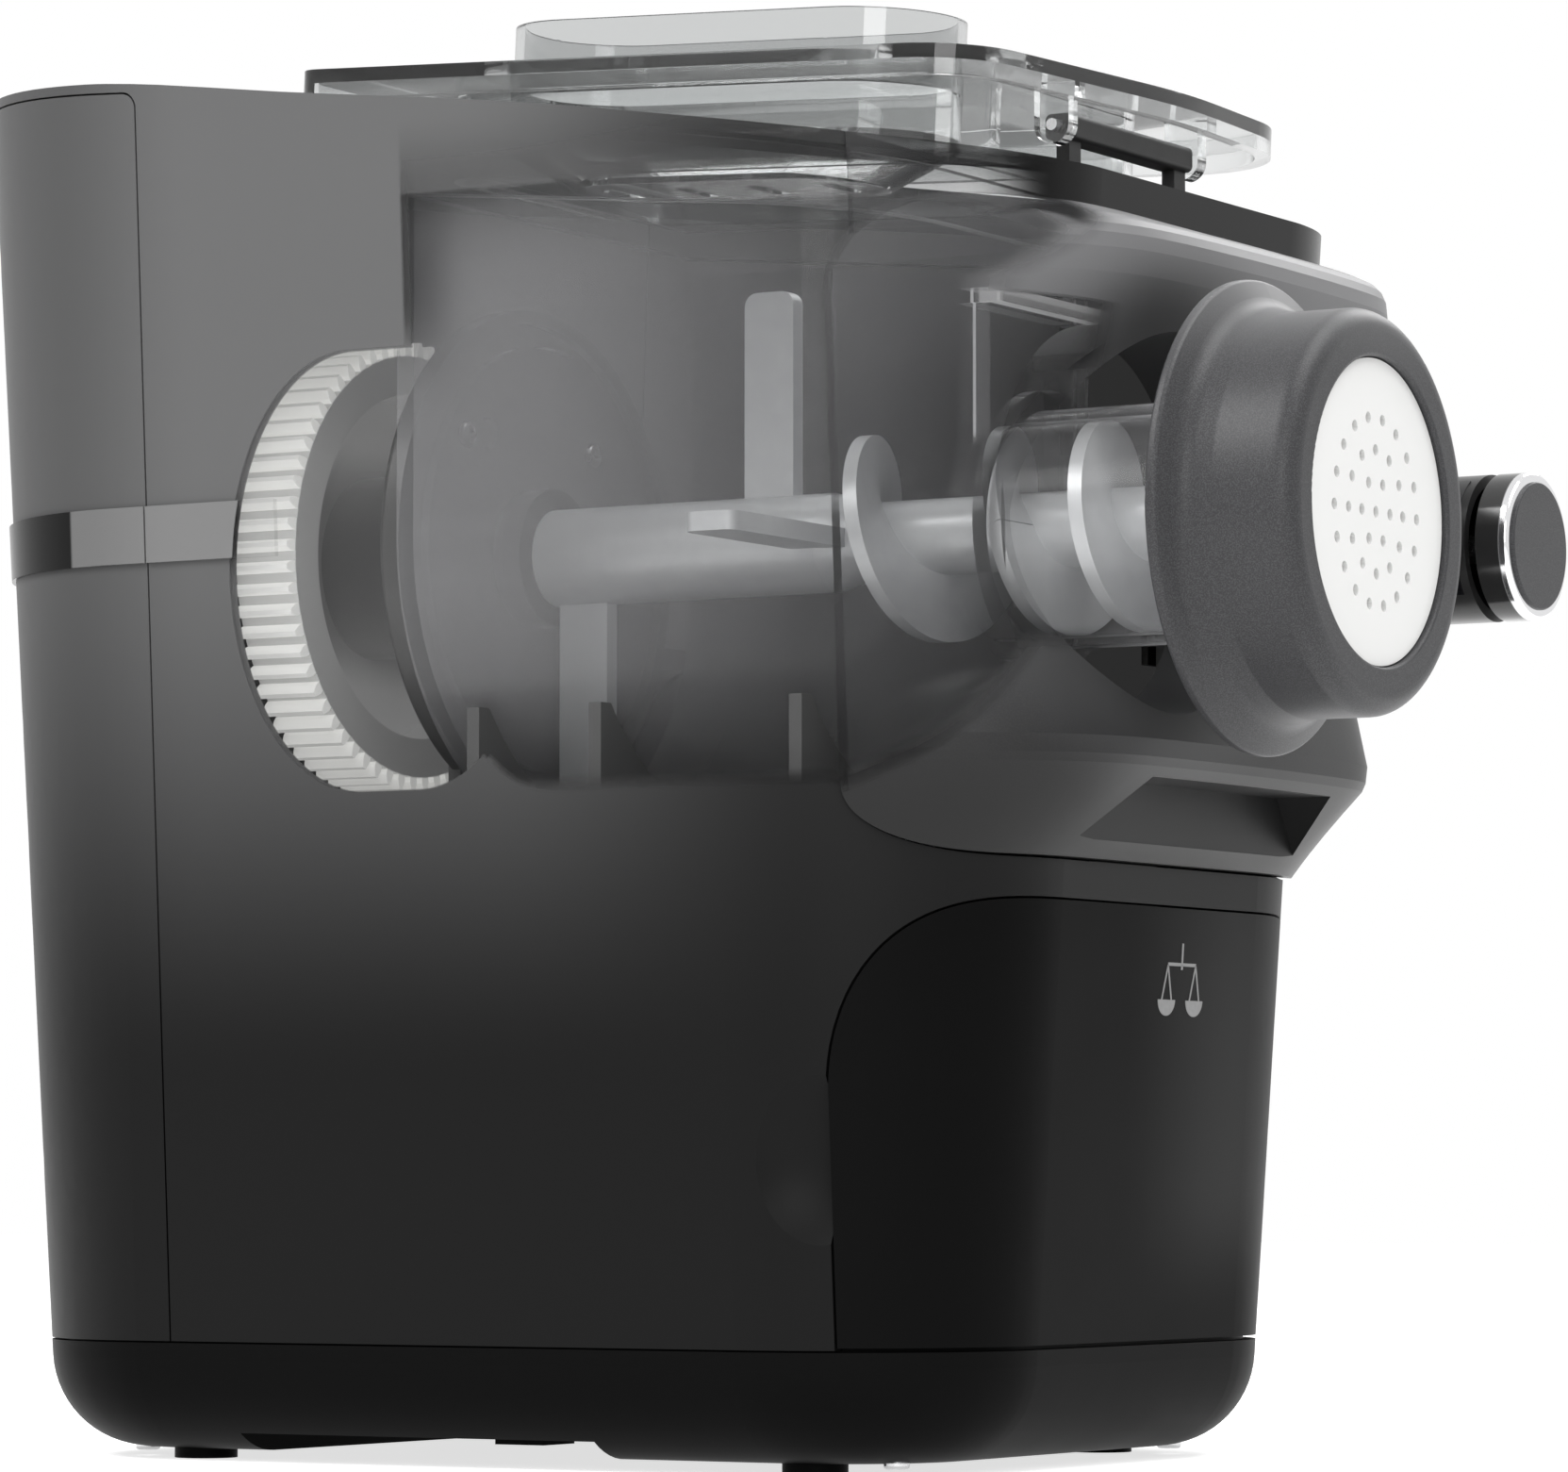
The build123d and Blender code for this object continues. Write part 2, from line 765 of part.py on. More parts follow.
with BuildPart() as drawer_runners:
    runner_inner = box_half_width + fit_gap
    runner_top = box_top_z - box_wall - fit_gap
    with BuildSketch(Plane.XY.offset(runner_top)):
        for side in (-1, 1):
            with Locations((side * (runner_inner + bay_half_width) / 2, (bay_front_y + bay_rear_y) / 2)):
                Rectangle(bay_half_width - runner_inner, bay_rear_y - bay_front_y)
    extrude(amount=-runner_height)
drawer_runners.part.label = "drawer_runners"
export_step(drawer_runners.part, "parts/drawer_runners.step")

# ---------------------------------------- front panel: waisted face, chin, grip, two holes
panel_back_y = low_front_y + 32.0
panel_corner_share = 0.92
panel_curve_steps = 5
panel_levels = (
    (panel_bottom_z - 1, 0.07 * chin_bulge),
    (panel_bottom_z + chin_height, 0.95 * chin_bulge),
    (panel_bottom_z + 1.1 * chin_height, 0.99 * chin_bulge),
    (panel_bottom_z + 1.3 * chin_height, chin_bulge),
    (axis_z - 24, 0.75 * waist_bulge + 0.25 * chin_bulge),
    (axis_z, waist_bulge),
    (axis_z + 24, 0.75 * waist_bulge + 0.25 * brow_bulge),
    (panel_top_z - 16, 0.98 * brow_bulge),
    (panel_top_z - 11, brow_bulge),
    (panel_top_z - 8, 0.97 * brow_bulge),
    (panel_top_z - 6, 0.91 * brow_bulge),
    (panel_top_z - 4.5, 0.82 * brow_bulge),
    (panel_top_z - 3.2, 0.66 * brow_bulge),
    (panel_top_z - 2, 0.45 * brow_bulge),
    (panel_top_z + 1, 0),
)


def panel_curve(z, inset, bulge):
    """Points of the panel's face at height z, from the left seam round the front to the right seam."""
    reach = footprint_radius + spread(z) - inset
    centre_y = low_corner_y - slide(z)
    seam_turn = degrees(acos((centre_y - panel_back_y) / reach))
    side = []
    for step in range(panel_curve_steps + 1):
        turn = seam_turn * (1 - step / panel_curve_steps)
        push = bulge * panel_corner_share * (1 - (turn / seam_turn) ** 2)
        side.append((corner_x + reach * sin(radians(turn)), centre_y - reach * cos(radians(turn)) - push))
    side.append((corner_x / 2, centre_y - reach - bulge * (3 + panel_corner_share) / 4))
    return [(-x, y) for x, y in side] + [(0, centre_y - reach - bulge)] + side[::-1]


def panel_block(inset):
    """Everything behind the panel's face, with the face moved back by the inset."""
    with BuildPart() as block:
        for level, bulge in panel_levels:
            drop = inset if level > axis_z else -inset
            z = level - drop if abs(level - axis_z) > 30 else level
            with BuildSketch(Plane.XY.offset(z)):
                with BuildLine():
                    face = Spline(*panel_curve(z, inset, bulge))
                    Line(face @ 1, face @ 0)
                make_face()
        loft(ruled=True)
    return block.part


def grip_prism(grow):
    """The finger-grip pocket under the chin, narrower at its top."""
    low = panel_bottom_z + 3.5 - grow
    high = low + grip_height + 2 * grow
    with BuildPart() as prism:
        with BuildSketch(front_plane(grip_back_y + grow)):
            Polygon(
                (-grip_width / 2 - grow, low),
                (grip_width / 2 + grow, low),
                (grip_top_width / 2 + grow, high),
                (-grip_top_width / 2 - grow, high),
                align=None,
            )
        extrude(amount=footprint_radius)
    return prism.part


def panel_posts(extra):
    """Bars along the tube's and the control cylinder's axes, a little wider than their holes."""
    with BuildPart() as posts:
        with BuildSketch(front_plane(panel_collar_y)):
            with Locations((axis_x, axis_z)):
                Circle(tube_hole_radius + extra)
            with Locations((control_x, control_z)):
                Circle(control_radius + front_clearance + extra)
        extrude(amount=footprint_radius)
    return posts.part


panel_collar_y = low_front_y - 9.0
panel_outside = panel_block(0)
panel_inside = panel_block(panel_wall)
panel_collars = panel_posts(panel_wall) & panel_outside
with BuildPart() as panel_hollow:
    add(panel_inside)
    add(grip_prism(panel_wall), mode=Mode.SUBTRACT)
with BuildPart() as front_panel:
    add(panel_outside)
    add(panel_region, mode=Mode.INTERSECT)
    add(panel_hollow.part, mode=Mode.SUBTRACT)
    add(panel_collars)
    add(grip_prism(0), mode=Mode.SUBTRACT)
    add(panel_posts(0), mode=Mode.SUBTRACT)
front_panel.part.label = "front_panel"
export_step(front_panel.part, "parts/front_panel.step")

# ---------------------------------------- mixing chamber: a clear U-shaped tub with a throat
throat_radius = tube_radius - tube_wall
chamber_collar_front = chamber_front_y - collar_length
screw_x = axis_x - 28.0
screw_z = axis_z + 24.5
screw_radius = 3.2


def trough(inset, front_y, rear_y, top_z):
    """U-shaped block about the extruder axis with its front edges rounded."""
    radius = chamber_radius - inset
    with BuildPart() as block:
        with BuildSketch(front_plane(rear_y)):
            with Locations((axis_x, axis_z)):
                Circle(radius)
            with Locations((axis_x, (axis_z + top_z) / 2)):
                Rectangle(2 * radius, top_z - axis_z)
        extrude(amount=rear_y - front_y)
        front_edges = block.faces().sort_by(Axis.Y)[0].edges().sort_by(Axis.Z)[:-1]
        fillet(front_edges, chamber_corner - inset)
    return block.part


def above_rim(grow):
    """Everything above the chamber's sloping rim, raised by grow."""
    fall = (chamber_rear_z - chamber_front_z) / (chamber_rear_y - chamber_front_y)
    with BuildPart() as cutter:
        with BuildSketch(Plane.YZ):
            Polygon(
                (-far_y, chamber_front_z + grow - fall * (far_y + chamber_front_y)),
                (far_y, chamber_rear_z + grow + fall * (far_y - chamber_rear_y)),
                (far_y, 3 * crown_z),
                (-far_y, 3 * crown_z),
                align=None,
            )
        extrude(amount=footprint_width, both=True)
    return cutter.part


rim_cut = above_rim(0)
frame_region = above_rim(hopper_gap)
chamber_outside = trough(0, chamber_front_y, chamber_rear_y, crown_z)
chamber_inside = trough(chamber_wall, chamber_front_y + chamber_wall, chamber_rear_y - chamber_wall, crown_z)
neck_front_y = chamber_collar_front
with BuildPart() as mixing_chamber:
    add(chamber_outside)
    with BuildSketch(front_plane(chamber_front_y + chamber_corner)):
        with Locations((axis_x, axis_z)):
            Circle(tube_radius + tube_wall)
        with Locations((axis_x, (axis_z + neck_top_z) / 2)):
            Rectangle(neck_width, neck_top_z - axis_z)
    extrude(amount=chamber_front_y + chamber_corner - neck_front_y)
    add(chamber_inside, mode=Mode.SUBTRACT)
    with BuildSketch(front_plane(chamber_front_y + chamber_corner)):
        with Locations((axis_x, (axis_z + neck_top_z - chamber_wall) / 2)):
            Rectangle(neck_width - 2 * chamber_wall, neck_top_z - chamber_wall - axis_z)
    extrude(amount=chamber_front_y + chamber_corner - neck_front_y - chamber_wall, mode=Mode.SUBTRACT)
    with BuildSketch(front_plane(chamber_front_y + chamber_corner)):
        with Locations((axis_x, axis_z)):
            Circle(throat_radius)
    extrude(amount=footprint_radius, mode=Mode.SUBTRACT)
    with BuildSketch(Plane.XY.offset(neck_top_z)):
        lip_left = axis_x - neck_width / 2 - 1
        lip_right = axis_x + neck_width / 2 + neck_lip_side
        lip_rear = chamber_front_y
        with Locations(((lip_left + lip_right) / 2, (lip_rear + neck_front_y - neck_lip) / 2)):
            Rectangle(lip_right - lip_left, lip_rear - neck_front_y + neck_lip)
    extrude(amount=-neck_lip)
    with BuildSketch(front_plane(chamber_rear_y + chamber_boss)):
        with Locations((axis_x, axis_z)):
            Circle(chamber_boss_radius)
    extrude(amount=chamber_boss)
    with BuildSketch(front_plane(chamber_rear_y - chamber_wall)):
        with Locations((screw_x, screw_z)):
            Circle(screw_radius)
    extrude(amount=chamber_boss / 2)
    with BuildSketch(front_plane(far_y)):
        with Locations((axis_x, axis_z)):
            Circle(seal_radius)
    extrude(amount=far_y - core_radius, mode=Mode.SUBTRACT)
    add(rim_cut, mode=Mode.SUBTRACT)
mixing_chamber.part.label = "mixing_chamber"
export_step(mixing_chamber.part, "parts/mixing_chamber.step")

hook_inset = 8.5
hook_pitch = 50.0
hook_ys = [chamber_rear_y - hook_inset, chamber_rear_y - hook_inset - hook_pitch]
hook_x = axis_x - chamber_radius
with BuildPart() as hopper_frame:
    add(chamber_outside)
    add(chamber_inside, mode=Mode.SUBTRACT)
    add(frame_region, mode=Mode.INTERSECT)
    add(lining_block, mode=Mode.INTERSECT)
    with BuildSketch(lid_plane.offset(-skirt_drop - deck_gap)):
        with Locations(((deck_left + deck_right) / 2, (skirt_rear_y + deck_gap + deck_front_y) / 2)):
            Rectangle(deck_right - deck_left, skirt_rear_y + deck_gap - deck_front_y)
    extrude(amount=crown_z, mode=Mode.SUBTRACT)
    with BuildSketch(Plane.YZ.offset(hook_x)):
        with Locations(*[(y, chamber_rear_z + hook_height) for y in hook_ys]):
            Rectangle(hook_width, hook_height)
    extrude(amount=2 * chamber_wall, mode=Mode.SUBTRACT)
hopper_frame.part.label = "hopper_frame"
export_step(hopper_frame.part, "parts/hopper_frame.step")

# ---------------------------------------- shaft seal, drive housing, shaft and bearings
seal_front_y = chamber_rear_y - chamber_wall
housing_front_y = chamber_rear_y + chamber_boss + fit_gap
seal_rear_y = housing_rear_y - housing_wall - fit_gap
bearing_front_y = housing_rear_y
shaft_rear_y = gear_plate_y + gear_plate_thickness + 4.0
core_rear_y = seal_front_y - fit_gap


with BuildPart() as shaft_seal:
    add(ring_y(axis_x, axis_z, seal_radius, shaft_radius + run_gap, seal_rear_y, seal_front_y))
shaft_seal.part.label = "shaft_seal"
export_step(shaft_seal.part, "parts/shaft_seal.step")

with BuildPart() as drive_housing:
    add(cylinder_y(axis_x, axis_z, housing_radius, housing_rear_y, housing_front_y))
    add(
        cylinder_y(axis_x, axis_z, housing_radius - housing_wall, housing_rear_y - housing_wall, 0),
        mode=Mode.SUBTRACT,
    )
    fillet(drive_housing.faces().sort_by(Axis.Y)[-1].edges(), 1.5)
    add(ring_y(axis_x, axis_z, bearing_radius + housing_wall, shaft_radius + 2 * fit_gap,
               bearing_front_y + bearing_width, housing_rear_y - housing_wall))
    with BuildSketch(front_plane(housing_rear_y)):
        foot_high = axis_z - housing_radius + 4 * housing_wall
        with Locations((axis_x, (shelf_top + foot_high) / 2)):
            Rectangle(housing_radius, foot_high - shelf_top)
    extrude(amount=housing_wall)
    add(cylinder_y(axis_x, axis_z, bearing_radius, bearing_front_y + bearing_width, bearing_front_y),
        mode=Mode.SUBTRACT)
    add(cylinder_y(axis_x, axis_z, shaft_radius + 2 * fit_gap, far_y, 0), mode=Mode.SUBTRACT)
drive_housing.part.label = "drive_housing"
export_step(drive_housing.part, "parts/drive_housing.step")

with BuildPart() as drive_shaft:
    add(cylinder_y(axis_x, axis_z, shaft_radius, shaft_rear_y, core_rear_y))
    with BuildSketch(front_plane(core_rear_y)):
        with Locations((axis_x, axis_z)):
            RegularPolygon(hex_across / 2, 6, major_radius=False)
    extrude(amount=socket_depth - 2 * fit_gap)
drive_shaft.part.label = "drive_shaft"
export_step(drive_shaft.part, "parts/drive_shaft.step")

# ---------------------------------------- gears: involute teeth, in mesh at rest
def tooth_points(teeth, module, side_play):
    """Outline of one involute tooth that points along +X, from below its root circle to its tip."""
    pitch = teeth * module / 2
    base = pitch * cos(radians(20))
    tip = pitch + 0.95 * module
    root = pitch - 1.25 * module

    def involute(radius):
        angle = acos(min(1.0, base / radius))
        return tan(angle) - angle

    half = pi / (2 * teeth) - side_play / (2 * pitch) + involute(pitch)
    radii = [max(base, root), pitch - 0.4 * module, pitch, pitch + 0.5 * module, tip]
    flank = [(radius, half - involute(max(radius, base))) for radius in radii if radius > root]
    flank = [(root - 0.5 * module, flank[0][1])] + sorted(flank)
    upper = [(r * cos(a), r * sin(a)) for r, a in flank]
    lower = [(x, -y) for x, y in upper]
    return lower + upper[::-1]


def gear_blank(teeth, module, turn, rear_y, width, x, z):
    """Toothed disc whose first tooth points at the given angle above +X."""
    with BuildPart() as blank:
        with BuildSketch(front_plane(rear_y)):
            with Locations((x, z)):
                Circle(teeth * module / 2 - 1.25 * module)
                with PolarLocations(0, teeth, start_angle=turn):
                    Polygon(*tooth_points(teeth, module, backlash), align=None)
        extrude(amount=width)
    return blank.part


gear_rear_y = gear_front_y + gear_width
with BuildPart() as drive_gear:
    add(gear_blank(gear_teeth, gear_module, idler_angle, gear_rear_y, gear_width, axis_x, axis_z))
    with BuildSketch(front_plane(gear_rear_y - gear_web)):
        with Locations((axis_x, axis_z)):
            Circle(gear_rim_radius)
    extrude(amount=gear_width, mode=Mode.SUBTRACT)
    add(cylinder_y(axis_x, axis_z, hub_radius, gear_rear_y, gear_rear_y + gear_web), mode=Mode.ADD)
    add(cylinder_y(axis_x, axis_z, shaft_radius, far_y, 0), mode=Mode.SUBTRACT)
drive_gear.part.label = "drive_gear"
export_step(drive_gear.part, "parts/drive_gear.step")

hub_step = 4.0
with BuildPart() as gear_hub:
    add(ring_y(axis_x, axis_z, hub_radius, shaft_radius, gear_rear_y - gear_web, hub_front_y + hub_step))
    add(ring_y(axis_x, axis_z, bearing_radius, shaft_radius, hub_front_y + hub_step, hub_front_y))
gear_hub.part.label = "gear_hub"
export_step(gear_hub.part, "parts/gear_hub.step")

wheel_rear_y = wheel_front_y + wheel_width
with BuildPart() as idler_gear:
    half_tooth = 180 / idler_teeth
    add(gear_blank(idler_teeth, gear_module, idler_angle + 180 + half_tooth, gear_rear_y, gear_width,
                   idler_x, idler_z))
    add(gear_blank(wheel_teeth, first_module, motor_angle, wheel_rear_y, wheel_width, idler_x, idler_z))
    add(cylinder_y(idler_x, idler_z, idler_teeth * gear_module / 2 - gear_module, wheel_front_y, gear_rear_y))
    add(cylinder_y(idler_x, idler_z, idler_pin_radius + run_gap, far_y, 0), mode=Mode.SUBTRACT)
idler_gear.part.label = "idler_gear"
export_step(idler_gear.part, "parts/idler_gear.step")

with BuildPart() as motor_pinion:
    half_tooth = 180 / pinion_teeth
    add(gear_blank(pinion_teeth, first_module, motor_angle + 180 + half_tooth, wheel_rear_y + 1,
                   wheel_width + 2, motor_x, motor_z))
    add(cylinder_y(motor_x, motor_z, motor_shaft_radius, far_y, 0), mode=Mode.SUBTRACT)
motor_pinion.part.label = "motor_pinion"
export_step(motor_pinion.part, "parts/motor_pinion.step")

# ---------------------------------------- bearings, pins, plates and the motor
with BuildPart() as shaft_bearings:
    for front in (bearing_front_y, gear_plate_y + gear_plate_thickness - bearing_width):
        add(ring_y(axis_x, axis_z, bearing_radius, shaft_radius + run_gap, front + bearing_width, front))
shaft_bearings.part.label = "shaft_bearings"
export_step(shaft_bearings.part, "parts/shaft_bearings.step")

with BuildPart() as idler_pin:
    add(cylinder_y(idler_x, idler_z, idler_pin_radius, gear_plate_y + gear_plate_thickness, bracket_y))
idler_pin.part.label = "idler_pin"
export_step(idler_pin.part, "parts/idler_pin.step")

plate_left = 9.0 - half_width
plate_right = half_width - 3.0
plate_top_z = 250.0
plate_round = 14.0
plate_foot = 6.0
post_radius = 5.0
post_spots = ((plate_right - 2 * post_radius, plate_foot + post_radius), (0, plate_foot + post_radius))
with BuildPart() as gear_plate:
    with BuildSketch(front_plane(gear_plate_y + gear_plate_thickness)):
        Polygon(
            (plate_left, shelf_top),
            (plate_right, shelf_top),
            (plate_right, idler_z + 2 * plate_round),
            (plate_right - 3 * plate_round, axis_z + plate_round),
            (idler_x, plate_top_z),
            (plate_left, plate_top_z),
            align=None,
        )
        fillet(vertices().sort_by(Axis.Y)[2:], plate_round)
        with Locations((axis_x, axis_z)):
            Circle(bearing_radius, mode=Mode.SUBTRACT)
        with Locations((idler_x, idler_z)):
            Circle(idler_pin_radius, mode=Mode.SUBTRACT)
    extrude(amount=gear_plate_thickness)
    with BuildSketch(front_plane(gear_plate_y)):
        with Locations(*[(x, shelf_top + rise) for x, rise in post_spots]):
            Circle(post_radius)
    extrude(amount=gear_plate_y - bracket_y - bracket_thickness)
gear_plate.part.label = "gear_plate"
export_step(gear_plate.part, "parts/gear_plate.step")

bracket_left = -4.0
bracket_top_z = 182.0
with BuildPart() as motor_bracket:
    with BuildSketch(front_plane(bracket_y + bracket_thickness)):
        with Locations(((bracket_left + plate_right) / 2, (shelf_top + bracket_top_z) / 2)):
            RectangleRounded(plate_right - bracket_left, bracket_top_z - shelf_top, bearing_radius / 2)
        with Locations((idler_x, idler_z)):
            Circle(idler_pin_radius, mode=Mode.SUBTRACT)
        with Locations((motor_x, motor_z)):
            Circle(motor_shaft_radius + 4 * fit_gap, mode=Mode.SUBTRACT)
    extrude(amount=bracket_thickness)
motor_bracket.part.label = "motor_bracket"
export_step(motor_bracket.part, "parts/motor_bracket.step")

cap_thickness = 14.0
motor_neck = 2.0
with BuildPart() as motor:
    add(cylinder_y(motor_x, motor_z, motor_radius, bracket_y, motor_front_y))
    fillet(motor.edges().filter_by(GeomType.CIRCLE), 2 * motor_neck)
    for groove_y in (bracket_y - cap_thickness, motor_front_y + cap_thickness):
        add(
            ring_y(motor_x, motor_z, 2 * motor_radius, motor_radius - 1, groove_y + 1, groove_y - 1),
            mode=Mode.SUBTRACT,
        )
    add(cylinder_y(motor_x, motor_z, motor_shaft_radius + run_gap, far_y, -far_y), mode=Mode.SUBTRACT)
motor.part.label = "motor"
export_step(motor.part, "parts/motor.step")

fan_gap = 2.0
fan_width = 6.0
fan_rear_y = motor_front_y - fan_gap
blade_count = 8
blade_thickness = 1.8
with BuildPart() as motor_fan:
    add(cylinder_y(motor_x, motor_z, fan_radius / 3, fan_rear_y, fan_rear_y - fan_width))
    add(cylinder_y(motor_x, motor_z, fan_radius, fan_rear_y, fan_rear_y - blade_thickness))
    with BuildSketch(front_plane(fan_rear_y)):
        with Locations((motor_x, motor_z)):
            with PolarLocations(fan_radius * 0.62, blade_count):
                Rectangle(fan_radius * 0.7, blade_thickness)
    extrude(amount=fan_width)
    add(cylinder_y(motor_x, motor_z, motor_shaft_radius, far_y, -far_y), mode=Mode.SUBTRACT)
motor_fan.part.label = "motor_fan"
export_step(motor_fan.part, "parts/motor_fan.step")

with BuildPart() as motor_shaft:
    shaft_front_y = fan_rear_y - fan_width - fan_gap
    add(cylinder_y(motor_x, motor_z, motor_shaft_radius, wheel_rear_y + fan_gap, shaft_front_y))
motor_shaft.part.label = "motor_shaft"
export_step(motor_shaft.part, "parts/motor_shaft.step")

# ---------------------------------------- boards with their large parts
board_thickness = 1.6
board_blocks = (
    (-38.0, 0.0, 30.0, 26.0, 24.0),
    (2.0, 8.0, 22.0, 16.0, 18.0),
    (36.0, -8.0, 6.0, 18.0, 30.0),
)
capacitor_spots = ((22.0, 0.0), (48.0, 6.0))
capacitor_radius = 7.0
capacitor_height = 26.0
with BuildPart() as power_board:
    with BuildSketch(Plane.XY.offset(board_z)):
        with Locations((0, board_y)):
            Rectangle(board_width, board_length)
    extrude(amount=board_thickness)
    for block_x, block_y, block_width, block_length, block_height in board_blocks:
        with BuildSketch(Plane.XY.offset(board_z)):
            with Locations((block_x, board_y + block_y)):
                Rectangle(block_width, block_length)
        extrude(amount=block_height)
    with BuildSketch(Plane.XY.offset(board_z)):
        with Locations((0, board_y)):
            with Locations(*capacitor_spots):
                Circle(capacitor_radius)
    extrude(amount=capacitor_height)
power_board.part.label = "power_board"
export_step(power_board.part, "parts/power_board.step")

panel_post = 3.0
panel_posts_at = ((-12.0, -10.0), (12.0, -10.0), (0.0, 13.0))
control_board_width = 32.0
control_board_height = 46.0
chip_size = 12.0
plate_rear_y = control_rear_y + bay_wall
with BuildPart() as control_board:
    with BuildSketch(front_plane(plate_rear_y + panel_post + board_thickness)):
        with Locations((control_x, control_z)):
            Rectangle(control_board_width, control_board_height)
    extrude(amount=board_thickness)
    with BuildSketch(front_plane(plate_rear_y + panel_post)):
        with Locations((control_x, control_z)):
            with Locations(*panel_posts_at):
                Circle(panel_post)
    extrude(amount=panel_post)
    with BuildSketch(front_plane(plate_rear_y + panel_post + 2 * board_thickness)):
        with Locations((control_x, control_z)):
            Rectangle(chip_size, chip_size)
    extrude(amount=board_thickness)
control_board.part.label = "control_board"
export_step(control_board.part, "parts/control_board.step")

# ---------------------------------------- control cylinder: tube, glass, encoder, knob
bulkhead_y = control_front_y + 29.0
bulkhead = 2.0
glass_front_y = control_front_y + 12.5
glass_rear_y = control_front_y + 40.0
glass_start = 120.0
glass_sweep = 102.0
glass_proud = 0.3
glass_depth = 0.9
tube_mouth_y = control_front_y + 10.6
knob_rear_y = tube_mouth_y - press_travel - 1.0
knob_radius = control_radius - control_wall + 0.1
stem_radius = 3.0
stem_front_y = control_front_y + 4.0
stem_rear_y = bulkhead_y - bulkhead - 4.0
encoder_size = 13.0
encoder_depth = 7.0


def glass_sector(outer, inner):
    """A curved strip round the control cylinder, on its upper left."""
    with BuildPart() as strip:
        with BuildSketch(front_plane(glass_rear_y)):
            with BuildLine():
                far_arc = CenterArc((control_x, control_z), outer, glass_start, glass_sweep)
                near_arc = CenterArc((control_x, control_z), inner, glass_start, glass_sweep)
                Line(far_arc @ 0, near_arc @ 0)
                Line(far_arc @ 1, near_arc @ 1)
            make_face()
        extrude(amount=glass_rear_y - glass_front_y)
    return strip.part


bulkhead_radius = control_radius - control_wall / 2
with BuildPart() as control_housing:
    add(ring_y(control_x, control_z, control_radius, control_radius - control_wall,
               control_rear_y, tube_mouth_y))
    add(cylinder_y(control_x, control_z, bulkhead_radius, bulkhead_y, bulkhead_y - bulkhead))
    add(glass_sector(control_radius + control_wall, control_radius - glass_depth), mode=Mode.SUBTRACT)
control_housing.part.label = "control_housing"
export_step(control_housing.part, "parts/control_housing.step")

with BuildPart() as display_glass:
    add(glass_sector(control_radius + glass_proud, control_radius - glass_depth))
display_glass.part.label = "display_glass"
export_step(display_glass.part, "parts/display_glass.step")

with BuildPart() as encoder:
    with BuildSketch(front_plane(bulkhead_y - bulkhead)):
        with Locations((control_x, control_z)):
            Rectangle(encoder_size, encoder_size)
            Circle(stem_radius + run_gap, mode=Mode.SUBTRACT)
    extrude(amount=encoder_depth)
encoder.part.label = "encoder"
export_step(encoder.part, "parts/encoder.step")

with BuildPart() as encoder_stem:
    add(cylinder_y(control_x, control_z, stem_radius, stem_rear_y, stem_front_y))
encoder_stem.part.label = "encoder_stem"
export_step(encoder_stem.part, "parts/encoder_stem.step")

knob_edge = 1.0
ring_step = 0.7
with BuildPart() as knob:
    add(cylinder_y(control_x, control_z, knob_radius, knob_rear_y, control_front_y))
    fillet(knob.faces().sort_by(Axis.Y)[0].edges(), knob_edge / 2)
    add(
        cylinder_y(control_x, control_z, stem_radius + run_gap, knob_rear_y, stem_front_y - fit_gap),
        mode=Mode.SUBTRACT,
    )
knob.part.label = "knob"
export_step(knob.part, "parts/knob.step")

with BuildPart() as chrome_ring:
    add(ring_y(control_x, control_z, control_radius, knob_radius, knob_rear_y, control_front_y + ring_step))
    fillet(chrome_ring.faces().sort_by(Axis.Y)[0].outer_wire().edges(), knob_edge)
chrome_ring.part.label = "chrome_ring"
export_step(chrome_ring.part, "parts/chrome_ring.step")

# ---------------------------------------- extruding tube, seal, disc and die cap
tube_rear_y = chamber_collar_front - fit_gap
tube_rear_flange = 29.0
seal_outer = 31.3
seal_inner = 27.7
groove_depth = 1.6
lug_radius = die_flange_radius + lug_height


def lugs_y(outer, inner, rear_y, front_y):
    """Three short arcs of a ring about the extruder axis."""
    with BuildPart() as arcs:
        with BuildSketch(front_plane(rear_y)):
            for step in range(lug_count):
                turn = 90 - lug_angle / 2 + step * 360 / lug_count
                with BuildLine():
                    far_arc = CenterArc((axis_x, axis_z), outer, turn, lug_angle)
                    near_arc = CenterArc((axis_x, axis_z), inner, turn, lug_angle)
                    Line(far_arc @ 0, near_arc @ 0)
                    Line(far_arc @ 1, near_arc @ 1)
                make_face()
        extrude(amount=rear_y - front_y)
    return arcs.part


with BuildPart() as extruding_tube:
    add(cylinder_y(axis_x, axis_z, tube_radius, tube_rear_y, tube_front_y))
    add(cylinder_y(axis_x, axis_z, tube_rear_flange, tube_rear_y, tube_rear_y - tube_flange))
    add(cylinder_y(axis_x, axis_z, die_flange_radius, tube_front_y + die_flange, tube_front_y))
    add(lugs_y(lug_radius, die_flange_radius - 1, tube_front_y + die_flange, tube_front_y))
    add(cylinder_y(axis_x, axis_z, throat_radius, 0, -far_y), mode=Mode.SUBTRACT)
    add(
        ring_y(axis_x, axis_z, seal_outer, seal_inner, tube_front_y + groove_depth, tube_front_y),
        mode=Mode.SUBTRACT,
    )
extruding_tube.part.label = "extruding_tube"
export_step(extruding_tube.part, "parts/extruding_tube.step")

with BuildPart() as disc_seal:
    add(ring_y(axis_x, axis_z, seal_outer, seal_inner, tube_front_y + groove_depth, tube_front_y))
disc_seal.part.label = "disc_seal"
export_step(disc_seal.part, "parts/disc_seal.step")

